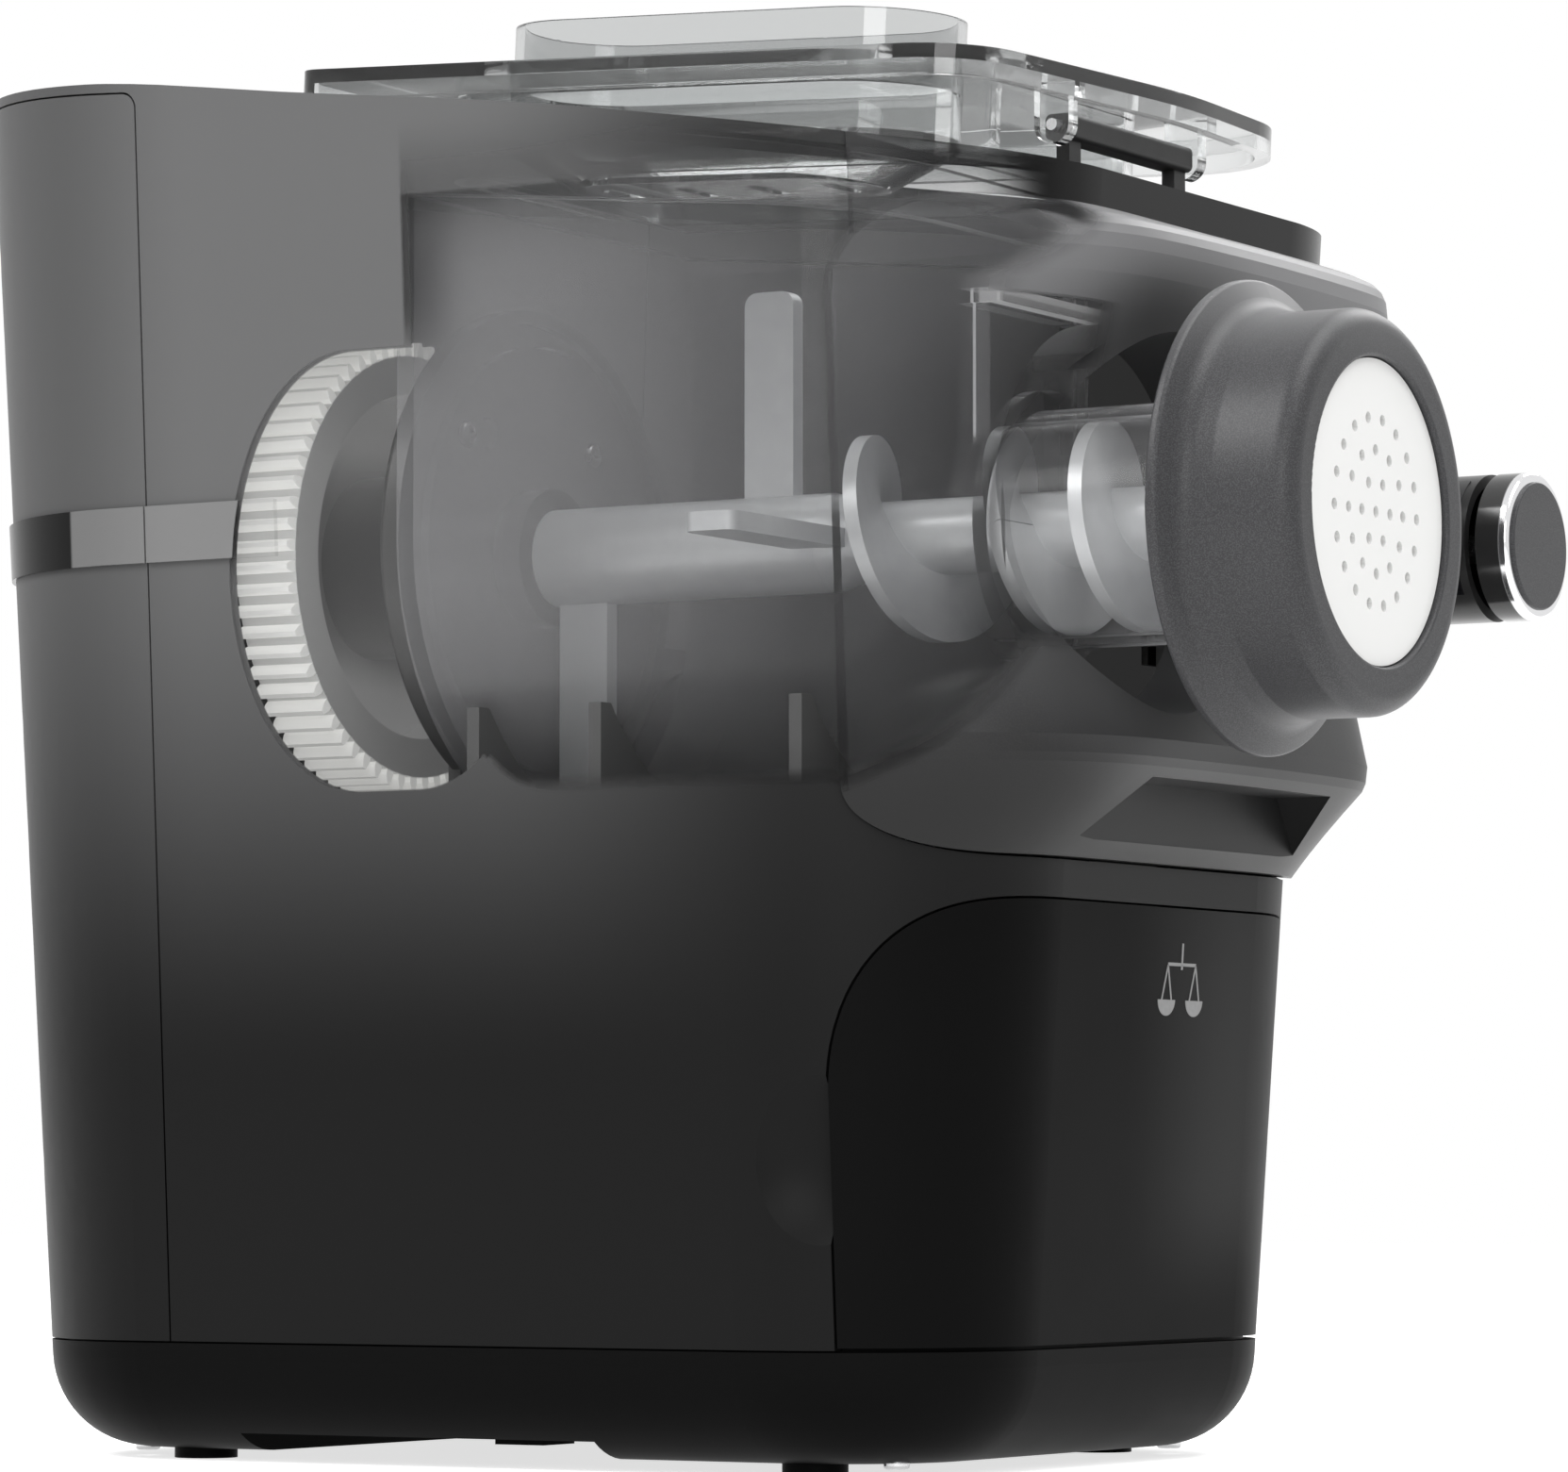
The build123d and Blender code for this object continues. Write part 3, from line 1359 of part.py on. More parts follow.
disc_rear_y = tube_front_y - fit_gap
boss_front_y = cap_front_y + disc_sink
hole_counts = (1, 6, 12, 18)
hole_radii = (0, 6.5, 12.5, 19.0)
with BuildPart() as shaping_disc:
    lip_radius = disc_radius + disc_lip
    add(cylinder_y(axis_x, axis_z, lip_radius, disc_rear_y, disc_rear_y - disc_lip_thickness))
    add(cylinder_y(axis_x, axis_z, disc_radius, disc_rear_y, boss_front_y))
    with BuildSketch(front_plane(disc_rear_y)):
        with Locations((axis_x, axis_z)):
            for count, radius in zip(hole_counts, hole_radii):
                with PolarLocations(radius, count):
                    Circle(strand_diameter / 2)
    extrude(amount=footprint_radius, mode=Mode.SUBTRACT)
shaping_disc.part.label = "shaping_disc"
export_step(shaping_disc.part, "parts/shaping_disc.step")

cap_cavity_radius = cap_radius - cap_wall
cap_mouth = disc_radius + fit_gap
cap_step_y = disc_rear_y - disc_lip_thickness - fit_gap
cap_profile_plane = Plane(origin=(axis_x, 0, axis_z), x_dir=(0, 1, 0), z_dir=(1, 0, 0))
cap_profile = (
    (cap_rear_y, cap_cavity_radius, 0),
    (cap_rear_y, cap_flange_radius, 1.0),
    (cap_rear_y - cap_flange, cap_flange_radius, 1.0),
    (cap_rear_y - cap_flange - 3.0, cap_radius + 1.4, 5.0),
    (cap_rear_y - cap_flange - 9.0, cap_radius, 3.0),
    (cap_front_y, cap_radius, 4.6),
    (cap_front_y, cap_mouth, 0.8),
    (cap_step_y, cap_mouth, 0),
    (cap_step_y, cap_cavity_radius, 0),
)
cap_lug_gap = 0.4
cap_lug_rear_y = tube_front_y + die_flange + cap_lug_gap
with BuildPart() as die_cap:
    with BuildSketch(cap_profile_plane):
        with BuildLine():
            FilletPolyline(
                *[(y, radius) for y, radius, rounding in cap_profile],
                radius=[rounding for y, radius, rounding in cap_profile],
                close=True,
            )
        make_face()
    revolve(axis=Axis((axis_x, 0, axis_z), (0, 1, 0)))
    add(lugs_y(cap_cavity_radius + 1, die_flange_radius + cap_lug_gap,
               cap_lug_rear_y + disc_lip, cap_lug_rear_y))
die_cap.part.label = "die_cap"
export_step(die_cap.part, "parts/die_cap.step")

# ---------------------------------------- mixing rod: core, two flights, four paddles
flight_outer = throat_radius - auger_gap
flight_inner = auger_core_radius - 0.5
feed_end_y = chamber_front_y - 8.0
cone_start_y = auger_start_y + 0.5
cone_end_y = cone_start_y - 10.0
paddles = ((90, 57.0), (180, 73.5), (270, 10.5), (0, 32.5))
paddle_root = auger_core_radius - 2.0
paddle_corner = 3.0
tip_round = 3.0


def flight(start_y, end_y, pitch, turn):
    """One screw flight about the extruder axis, starting at the given angle above +X."""
    middle = (flight_outer + flight_inner) / 2
    with BuildPart() as screw:
        with BuildLine():
            path = Helix(pitch, start_y - end_y, middle)
        with BuildSketch(Plane(origin=path @ 0, x_dir=(1, 0, 0), z_dir=path % 0)):
            Rectangle(flight_outer - flight_inner, flight_thickness)
        sweep(path=path, is_frenet=True)
    start = Plane(
        origin=(axis_x, start_y, axis_z),
        x_dir=(cos(radians(turn)), 0, sin(radians(turn))),
        z_dir=(0, -1, 0),
    )
    return start * screw.part


with BuildPart() as mixing_rod:
    with BuildSketch(cap_profile_plane):
        with BuildLine():
            Polyline(
                (core_rear_y, 0),
                (core_rear_y, core_radius),
                (cone_start_y, core_radius),
                (cone_end_y, auger_core_radius),
                (auger_front_y + tip_round, auger_core_radius),
                (auger_front_y, auger_core_radius - tip_round),
                (auger_front_y, 0),
                (core_rear_y, 0),
            )
        make_face()
    revolve(axis=Axis((axis_x, 0, axis_z), (0, 1, 0)))
    add(flight(auger_start_y, feed_end_y, feed_pitch, 0))
    add(flight(feed_end_y, auger_front_y + flight_thickness, press_pitch, 180))
    for turn, paddle_back in paddles:
        blade = Plane(
            origin=(axis_x, chamber_rear_y - paddle_back, axis_z),
            x_dir=(0, 1, 0),
            z_dir=(sin(radians(turn)), 0, -cos(radians(turn))),
        )
        with BuildSketch(blade.offset(-paddle_thickness / 2)):
            with Locations((0, (paddle_root + paddle_reach) / 2)):
                RectangleRounded(paddle_width, paddle_reach - paddle_root, paddle_corner)
        extrude(amount=paddle_thickness)
    with BuildSketch(front_plane(core_rear_y)):
        with Locations((axis_x, axis_z)):
            RegularPolygon((hex_across + hex_gap) / 2, 6, major_radius=False)
    extrude(amount=socket_depth, mode=Mode.SUBTRACT)
mixing_rod.part.label = "mixing_rod"
export_step(mixing_rod.part, "parts/mixing_rod.step")

# ---------------------------------------- lid: plate, water cup, skirt and latch lugs
lid_corners = (
    (lid_left, lid_rear_y, 6.0),
    (lid_right, lid_rear_y, 6.0),
    (lid_right, lid_front_y + 6, 38.0),
    ((lid_left + lid_right) / 2 + 1, lid_front_y - 1, 150.0),
    (lid_left, lid_front_y + 8, 18.0),
)
cup_floor_wall = 2.0
floor_slots = 4
slot_pitch = 18.0
slot_length = 14.0
slot_width = 4.0
cup_end_inset = 12.0
pin_radius = 1.25
lug_thickness = 4.0
lug_width = 8.0
lug_spots = (latch_x - latch_width / 2 - lug_thickness - 1, latch_x + latch_width / 2 + 1)


def lid_plan(inset):
    """The lid's outline, inset evenly, as a flat face in the lid's own plane."""
    with BuildSketch() as plan:
        with BuildLine():
            FilletPolyline(
                *[(x, y) for x, y, radius in lid_corners],
                radius=[radius for x, y, radius in lid_corners],
                close=True,
            )
        make_face()
        if inset:
            offset(amount=-inset)
    return plan.sketch


def cup_slot(inset, end_inset):
    """Oval of the water cup, its length along Y."""
    with BuildSketch() as oval:
        with Locations((cup_x, cup_y)):
            SlotOverall(cup_length - 2 * inset - 2 * end_inset, cup_width - 2 * inset, rotation=90)
    return oval.sketch


def lid_ring(left, right, front, rear, edge, top, drop):
    """A rounded frame hanging from the lid, between two depths under its top plane."""
    with BuildPart() as ring:
        with BuildSketch(lid_plane.offset(-top)):
            with Locations(((left + right) / 2, (front + rear) / 2)):
                RectangleRounded(right - left, rear - front, deck_corner)
                RectangleRounded(
                    right - left - 2 * edge, rear - front - 2 * edge, deck_corner - edge, mode=Mode.SUBTRACT
                )
        extrude(amount=top - drop)
    return ring.part


def cup_body(inset, top, floor):
    """The cup's outside or inside shape: upright walls that draw in towards the floor."""
    shoulder = floor - cup_bevel
    with BuildPart() as body:
        with BuildSketch(lid_plane.offset(top)):
            add(cup_slot(inset, 0))
        extrude(amount=-(top + shoulder))
        with BuildSketch(lid_plane.offset(-shoulder)):
            add(cup_slot(inset, 0))
        with BuildSketch(lid_plane.offset(-floor)):
            add(cup_slot(inset + cup_side_inset, cup_end_inset))
        loft()
    return body.part


cup_side_inset = 4.0
lid_underside_z = lid_z + lid_slope * latch_y - lid_skin
with BuildPart() as lid:
    with BuildSketch(lid_plane):
        add(lid_plan(0))
    extrude(amount=-lid_thickness)
    with BuildSketch(lid_plane.offset(-lid_skin)):
        add(lid_plan(lid_edge))
    extrude(amount=-lid_thickness, mode=Mode.SUBTRACT)
    add(lid_ring(skirt_left, skirt_right, skirt_front_y, skirt_rear_y, cup_wall, lid_skin / 2, skirt_drop))
    add(cup_body(0, cup_rise, cup_depth))
    add(cup_body(cup_wall, cup_rise, cup_depth - cup_floor_wall), mode=Mode.SUBTRACT)
    with BuildSketch(lid_plane.offset(-cup_depth + 2 * cup_wall)):
        with Locations((cup_x, cup_y)):
            with GridLocations(0, slot_pitch, 1, floor_slots):
                SlotOverall(slot_length, slot_width)
    extrude(amount=-4 * cup_wall, mode=Mode.SUBTRACT)
    for lug_x in lug_spots:
        with BuildSketch(Plane.YZ.offset(lug_x)):
            with Locations((latch_y, latch_z)):
                Circle(lug_width / 2)
            with Locations((latch_y, (latch_z + lid_underside_z) / 2 + 0.25 * lid_skin)):
                Rectangle(lug_width, lid_underside_z - latch_z + 0.5 * lid_skin)
            with Locations((latch_y, latch_z)):
                Circle(pin_radius, mode=Mode.SUBTRACT)
        extrude(amount=lug_thickness)
lid.part.label = "lid"
export_step(lid.part, "parts/lid.step")

pin_length = lug_thickness + 8.0
leg_width = 5.0
leg_thickness = 3.0
latch_ends = (latch_x - latch_width / 2, latch_x + latch_width / 2)
with BuildPart() as lid_latch:
    with BuildSketch(Plane.YZ.offset(latch_ends[0])):
        with Locations((latch_y, latch_z)):
            RectangleRounded(latch_depth, latch_height, latch_height / 4)
    extrude(amount=latch_width)
    with BuildSketch(front_plane(latch_y + leg_thickness / 2)):
        for leg_x in (latch_ends[0] + leg_width / 2, latch_ends[1] - leg_width / 2):
            with Locations((leg_x, latch_z - latch_leg / 2)):
                Rectangle(leg_width, latch_leg)
    extrude(amount=leg_thickness)
    with BuildSketch(Plane.YZ.offset(latch_ends[0] - 1)):
        with Locations((latch_y, latch_z)):
            Circle(pin_radius + run_gap)
    extrude(amount=latch_width + 2, mode=Mode.SUBTRACT)
lid_latch.part.label = "lid_latch"
export_step(lid_latch.part, "parts/lid_latch.step")

with BuildPart() as latch_pins:
    for pin_left in (lug_spots[0], lug_spots[1] + lug_thickness - pin_length):
        with BuildSketch(Plane.YZ.offset(pin_left)):
            with Locations((latch_y, latch_z)):
                Circle(pin_radius)
        extrude(amount=pin_length)
latch_pins.part.label = "latch_pins"
export_step(latch_pins.part, "parts/latch_pins.step")
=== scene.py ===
from itertools import product
from math import radians

import bpy
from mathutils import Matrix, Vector


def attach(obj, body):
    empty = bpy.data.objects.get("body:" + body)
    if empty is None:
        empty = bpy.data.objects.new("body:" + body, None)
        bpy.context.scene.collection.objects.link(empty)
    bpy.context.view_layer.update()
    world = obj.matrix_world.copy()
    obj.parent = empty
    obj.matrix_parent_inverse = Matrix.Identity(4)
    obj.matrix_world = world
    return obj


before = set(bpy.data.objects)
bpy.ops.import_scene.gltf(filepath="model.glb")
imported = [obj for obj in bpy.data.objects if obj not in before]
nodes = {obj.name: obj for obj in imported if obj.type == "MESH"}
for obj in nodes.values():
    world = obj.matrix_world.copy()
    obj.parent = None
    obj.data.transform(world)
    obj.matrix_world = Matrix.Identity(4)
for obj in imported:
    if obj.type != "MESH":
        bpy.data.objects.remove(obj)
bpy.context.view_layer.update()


# ------------------------------------------------------------------ studio
# A plain white floor under a white surround, which the camera, glass and metal see as white. Broad
# soft lamps hang behind on the left, above the front, near the camera and, weakest, on the right.
camera_place = (-1.2137, -0.7271, 0.0611)
camera_turn = -59.2
camera_pitch = 3.85
camera_focal = 149.4
film_width = 36.0
floor_size = 8.0
floor_glow = 0.72
sky_base = 0.42
lamps = (
    ("key_lamp", (-0.95, 0.55, 1.25), (-0.09, 0.03, 0.20), (1.0, 0.7), 19.0),
    ("front_lamp", (0.10, -0.72, 1.50), (-0.02, -0.10, 0.18), (1.1, 0.9), 15.0),
    ("fill_lamp", (-1.75, -1.15, 0.85), (-0.05, 0.0, 0.18), (1.0, 1.0), 13.0),
    ("right_lamp", (1.50, -0.15, 1.25), (0.05, 0.03, 0.15), (0.8, 0.8), 8.0),
)


class Level:
    """A shader socket that can be used in sums, products and comparisons."""

    def __init__(self, shading, socket):
        self.shading = shading
        self.socket = socket

    def output(self, name):
        """Another output of the node that this socket belongs to."""
        return Level(self.shading, self.socket.node.outputs[name])

    def math(self, operation, *values):
        return self.shading.node("ShaderNodeMath", {"operation": operation}, *values)

    def __add__(self, other):
        return self.math("ADD", self, other)

    def __sub__(self, other):
        return self.math("SUBTRACT", self, other)

    def __rsub__(self, other):
        return self.math("SUBTRACT", other, self)

    def __mul__(self, other):
        return self.math("MULTIPLY", self, other)

    def __truediv__(self, other):
        return self.math("DIVIDE", self, other)

    def __neg__(self):
        return self.math("MULTIPLY", self, -1.0)

    __radd__ = __add__
    __rmul__ = __mul__

    def root(self):
        return self.math("SQRT", self)

    def least(self, other):
        return self.math("MINIMUM", self, other)

    def most(self, other):
        return self.math("MAXIMUM", self, other)

    def rise(self, low, high):
        """0 below low, 1 above high, with a soft step between them."""
        settings = {"interpolation_type": "SMOOTHSTEP"}
        return self.shading.node("ShaderNodeMapRange", settings, self, low, high, 0.0, 1.0)

    def fall(self, low, high):
        """1 below low, 0 above high, with a soft step between them."""
        return 1.0 - self.rise(low, high)


class Shading:
    """A tree of shader nodes that grows by one node at a time."""

    def __init__(self, tree):
        self.tree = tree

    def node(self, kind, settings, *values, out=0, **named):
        """Adds one node: its settings first, then its sockets by place or by name."""
        made = self.tree.nodes.new(kind)
        for setting, value in settings.items():
            setattr(made, setting, value)
        wanted = list(zip(made.inputs, values))
        wanted += [(made.inputs[socket.replace("_", " ")], value) for socket, value in named.items()]
        for socket, value in wanted:
            self.link(value, socket)
        return Level(self, made.outputs[out])

    def link(self, value, socket):
        """Links a Level to a socket, and sets anything else on the socket itself."""
        if isinstance(value, Level):
            self.tree.links.new(value.socket, socket)
        else:
            socket.default_value = value

    def direct_sight(self):
        """1 for rays from the camera, metal and glass, 0 for rays that only gather light."""
        camera_ray = self.node("ShaderNodeLightPath", {}, out="Is Camera Ray")
        glossy_ray = camera_ray.output("Is Glossy Ray")
        return camera_ray.most(glossy_ray).most(camera_ray.output("Is Transmission Ray"))


class Finish(Shading):
    """A procedural material: constants go straight on the shader, patterns are linked to it."""

    def __init__(self, name, **surface):
        self.material = bpy.data.materials.new(name)
        self.material.use_nodes = True
        super().__init__(self.material.node_tree)
        self.shader = self.tree.nodes["Principled BSDF"]
        self.feed(**surface)

    def feed(self, **surface):
        for socket, value in surface.items():
            self.link(value, self.shader.inputs[socket.replace("_", " ")])

    def place(self):
        """The object's own coordinates, in metres, as a vector."""
        return self.node("ShaderNodeTexCoord", {}, out="Object")

    def axes(self, names="XYZ"):
        """The object's own coordinates along the axes named."""
        split = self.node("ShaderNodeSeparateXYZ", {}, self.place())
        return [split.output(name) for name in names]

    def noise(self, scale, detail=2.0):
        return self.node("ShaderNodeTexNoise", {}, Vector=self.place(), Scale=scale, Detail=detail)

    def mix(self, amount, first, second):
        """The first colour where amount is 0, the second where it is 1."""
        made = self.node("ShaderNodeMix", {"data_type": "RGBA"}, out=2)
        sockets = made.socket.node.inputs
        self.link(amount, sockets[0])
        self.link(first, sockets[6])
        self.link(second, sockets[7])
        return made

    def bump(self, height, strength, distance):
        return self.node("ShaderNodeBump", {}, Strength=strength, Distance=distance, Height=height)

    def turned_away(self):
        """0 where the surface faces the eye, 1 where it is seen edge on."""
        return self.node("ShaderNodeLayerWeight", {}, 0.5, out="Facing")

    def paint(self, *names):
        """Gives this finish to CAD nodes, by name, or to objects."""
        for name in names:
            piece = nodes[name] if isinstance(name, str) else name
            piece.data.materials.clear()
            piece.data.materials.append(self.material)


def grey(level, blue=0.0):
    """A grey colour, a touch bluer or, below zero, warmer."""
    return (level, level, level + blue, 1)


def release():
    """Leaves nothing selected, so that an operator acts on what comes next only."""
    bpy.ops.object.select_all(action="DESELECT")


release()
bpy.ops.object.camera_add(location=camera_place)
camera = bpy.context.object
camera.rotation_euler = (radians(90 + camera_pitch), 0, radians(camera_turn))
camera.data.lens = camera_focal
camera.data.sensor_width = film_width
camera.data.clip_start = 0.05
camera.data.clip_end = 60.0
bpy.context.scene.camera = camera

release()
bpy.ops.mesh.primitive_grid_add(x_subdivisions=2, y_subdivisions=2, size=floor_size)
floor = bpy.context.object
floor.name = "studio_floor"
floor_finish = Finish("studio_floor", Roughness=1.0, Specular_IOR_Level=0.0, Emission_Strength=1.0)
floor_finish.feed(Base_Color=grey(0.8), Emission_Color=floor_finish.direct_sight() * floor_glow)
floor_finish.paint(floor)

for lamp_name, spot, aim, size, watts in lamps:
    bpy.ops.object.light_add(type="AREA", location=spot)
    lamp = bpy.context.object
    lamp.name = lamp_name
    lamp.data.shape = "RECTANGLE"
    lamp.data.size, lamp.data.size_y = size
    lamp.data.energy = watts
    lamp.rotation_euler = (Vector(aim) - Vector(spot)).to_track_quat("-Z", "Y").to_euler()

world = bpy.data.worlds.new("studio_world")
bpy.context.scene.world = world
world.use_nodes = True
sky = Shading(world.node_tree)
sky_light = world.node_tree.nodes["Background"].inputs
sky.link(grey(1.0), sky_light["Color"])
sky_power = sky.node("ShaderNodeMapRange", {}, sky.direct_sight(), 0.0, 1.0, sky_base, 1.0)
sky.link(sky_power, sky_light["Strength"])
bpy.context.scene.view_settings.view_transform = "Standard"


# ------------------------------------------------------------------ base tray, feet and drawer front
# Black moulded plastic with a fine grain. The tray carries the machine and stands on four rubber
# feet, plugged into it. The drawer's front closes its bay, and has a painted sheen at its upper right.
tray_dark = grey(0.002)
tray_pale = grey(0.005)
# Painted sheen: a paler grey on the upper right of the drawer's front.
painted_sheen_grey = grey(0.030)
painted_sheen_x = (-0.015, 0.040)
painted_sheen_z = (0.030, 0.060)

tray_black = Finish("foot_black", Specular_IOR_Level=0.03)
x, z = tray_black.axes("XZ")
grain = tray_black.mix(tray_black.noise(4200.0), tray_dark, tray_pale)
tray_black.feed(
    Base_Color=tray_black.mix(x.rise(*painted_sheen_x) * z.rise(*painted_sheen_z), grain, painted_sheen_grey),
    Roughness=tray_black.noise(40.0) * 0.08 + 0.40,
)
tray_black.paint("drawer_front", "base_tray", "rubber_feet")


# ------------------------------------------------------------------ frames and fitted works
# Moulded frames in black and dark grey plastic that carry the motor, the seals and the control board.
# The drawer's box and runners are black too. The inner frame is paler above its shelf.
shelf_z = (0.128, 0.140)


def mottled(name, dark, pale, spots, patches, roughness, spread=0.1, **surface):
    """A finish with faint spots of two colours, that shines a little less from patch to patch."""
    made = Finish(name, **surface)
    made.feed(
        Base_Color=made.mix(made.noise(spots), dark, pale),
        Roughness=made.noise(patches) * spread + roughness,
    )
    return made


frame_black = mottled(
    "frame_black", grey(0.014), grey(0.022), spots=200.0, patches=60.0, roughness=0.42,
    Specular_IOR_Level=0.25,
)
frame_black.paint(
    "drawer_box", "drawer_runners", "lid_latch", "motor_fan", "encoder", "cord_gland", "disc_seal",
    "shaft_seal", "motor", "control_board",
)
frame_grey = mottled(
    "frame_grey", grey(0.07), grey(0.10), spots=120.0, patches=60.0, roughness=0.42,
    Specular_IOR_Level=0.25,
)
frame_grey.paint("gear_plate", "motor_bracket")

inner_frame = Finish("inner_frame", Specular_IOR_Level=0.2)
z = inner_frame.axes("Z")[0]
inner_frame.feed(
    Base_Color=inner_frame.mix(z.rise(*shelf_z), grey(0.012), grey(0.085)),
    Roughness=inner_frame.noise(60.0) * 0.1 + 0.42,
)
inner_frame.paint("inner_frame")


# ------------------------------------------------------------------ power board
# A circuit board under green lacquer in two shades, with its large parts. It lies on posts in the
# tray, and nothing of it shows from outside.
lacquer_dark = (0.015, 0.10, 0.045, 1)
lacquer_pale = (0.03, 0.16, 0.07, 1)

lacquer = Finish("circuit_board", Specular_IOR_Level=0.4)
lacquer.feed(
    Base_Color=lacquer.mix(lacquer.noise(500.0).rise(0.45, 0.55), lacquer_dark, lacquer_pale),
    Roughness=lacquer.noise(100.0) * 0.15 + 0.3,
)
lacquer.paint("power_board")


# ------------------------------------------------------------------ big gear and its hub
# A spur gear moulded in grey plastic, with a web dished between its rim and the dark hub that it
# turns with. Gear and hub glow with painted light. The teeth carry a painted highlight, paler and
# glowing more, and the web painted shade at its middle height, where its glow is weakest.
axis_x = -0.036
axis_z = 0.1937
tooth_root = (0.0459, 0.0465)
web_edge = (0.0374, 0.0380)
painted_shade_square = (0.00005, 0.0008)
hub_painted_shade_x = (-0.062, -0.042)


def from_axis(x, z):
    """The distance from the axis that the big gear, the rod and the disc share."""
    return ((x - axis_x) * (x - axis_x) + (z - axis_z) * (z - axis_z)).root()


gear_grey = Finish("gear_grey", Specular_IOR_Level=0.4, Emission_Strength=1.0)
x, z = gear_grey.axes("XZ")
# The teeth get a painted highlight: a paler colour and a stronger painted glow.
teeth = from_axis(x, z).rise(*tooth_root)
web = from_axis(x, z).fall(*web_edge)
# Painted shade on the web at the axis's height, painted light above and below it.
painted_light_off_level = ((z - axis_z) * (z - axis_z)).rise(*painted_shade_square)
face = gear_grey.mix(web, grey(0.42), gear_grey.mix(painted_light_off_level, grey(0.16), grey(0.46)))
# Painted glow on the whole face, weakest where the web has its painted shade.
painted_face_glow = gear_grey.mix(web, grey(0.075), gear_grey.mix(painted_light_off_level, grey(0.040), grey(0.110)))
gear_grey.feed(
    Base_Color=gear_grey.mix(teeth, face, grey(0.75, -0.01)),
    Emission_Color=gear_grey.mix(teeth, painted_face_glow, grey(0.34, -0.01)),
    Roughness=gear_grey.noise(80.0) * 0.1 + 0.34,
)
gear_grey.paint("drive_gear")

hub_grey = Finish("hub_grey", Specular_IOR_Level=0.3, Emission_Strength=1.0)
x = hub_grey.axes("X")[0]
# Painted shade on the hub's left side, painted light and glow on its right.
painted_lit_side = x.rise(*hub_painted_shade_x)
hub_grey.feed(
    Base_Color=hub_grey.mix(painted_lit_side, grey(0.06), grey(0.22)),
    Emission_Color=hub_grey.mix(painted_lit_side, grey(0.018), grey(0.055)),
    Roughness=hub_grey.noise(80.0) * 0.1 + 0.40,
)
hub_grey.paint("gear_hub")


# ------------------------------------------------------------------ small gears
# Moulded in a pale plastic: the idler runs free on a steel pin in the gear plate, and the pinion sits
# on the motor's shaft.
small_gear = mottled(
    "small_gear", grey(0.60, -0.01), grey(0.70, -0.01), spots=300.0, patches=80.0, roughness=0.36,
    Specular_IOR_Level=0.4,
)
small_gear.paint("idler_gear", "motor_pinion")


# ------------------------------------------------------------------ drive housing
# A dark moulded drum behind the tub, held by two screws. It keeps the bearings of the shaft that
# drives the rod.
drum_grey = mottled(
    "drum_grey", grey(0.050), grey(0.070), spots=90.0, patches=60.0, roughness=0.34,
    Specular_IOR_Level=0.35,
)
drum_grey.paint("drive_housing")


# ------------------------------------------------------------------ shafts, pins and bearings
# Turned and ground steel, hardly mottled, fitted into the mouldings that they run in or carry. The
# load cells on both sides of the drawer are bars of steel too.
steel = mottled(
    "bright_steel", grey(0.55, 0.01), grey(0.68), spots=150.0, patches=200.0, roughness=0.2, spread=0.15,
    Metallic=1.0,
)
steel.paint(
    "drive_shaft", "shaft_bearings", "idler_pin", "motor_shaft", "latch_pins", "encoder_stem", "load_cells",
)


# ------------------------------------------------------------------ mixing rod
# One satin moulding with its paddles and its auger. It slides on the hexagonal end of the drive shaft
# by hand, and comes out for washing.
rod_dark = (0.56, 0.57, 0.58, 1)
rod_pale = (0.66, 0.67, 0.68, 1)

satin = mottled(
    "rod_satin", rod_dark, rod_pale, spots=260.0, patches=200.0, roughness=0.28, spread=0.12,
    Metallic=0.2,
)
satin.paint("mixing_rod")


# ------------------------------------------------------------------ tub, hopper frame and extruding tube
# Thin smoky clear mouldings that mirror where they turn away. The hopper frame sits on the tub's
# sloping rim, and the tub's square neck, with a lip, opens into the tube. The neck's corners and lip
# carry glowing painted highlights.
smoke_grey = grey(0.41, 0.01)
turned_grey = grey(0.75, 0.01)
painted_highlight_grey = grey(0.22)
tub_length_y = (-0.095, 0.036)
neck_left = -0.0570
neck_front = -0.0895
neck_back = -0.0827
neck_skin = 0.0012
neck_corner = 0.0007
neck_foot_z = (0.209, 0.213)
lip_low = 0.2390
lip_high = 0.2420
lip_back_y = (-0.085, -0.084)
hairline = 0.0002
soft_edge = 0.0003


def clear_wall(name, **surface):
    """Thin clear plastic, smoky face on and pale edge on, and how far it is turned away."""
    made = Finish(name, Specular_IOR_Level=0.6, **surface)
    turned = made.turned_away()
    made.feed(
        Base_Color=made.mix(turned.rise(0.76, 0.90), smoke_grey, turned_grey),
        Roughness=made.noise(50.0) * 0.02 + 0.03,
    )
    return made, turned


tub, turned = clear_wall("tub_clear", Emission_Strength=1.0)
x, y, z = tub.axes()
under_top = z.fall(lip_high, lip_high + soft_edge)
lip = z.rise(lip_low - soft_edge, lip_low) * under_top * y.fall(*lip_back_y)
side_face = z.rise(*neck_foot_z) * under_top
side_face *= x.fall(neck_left, neck_left + neck_skin / 2)
side_face *= x.rise(neck_left - neck_skin, neck_left - neck_skin + hairline)
side_face *= y.fall(neck_back, neck_back + soft_edge)
front_corner = y.fall(neck_front + neck_corner, neck_front + neck_corner + hairline)
back_corner = y.rise(neck_back - neck_corner, neck_back - neck_corner + hairline)
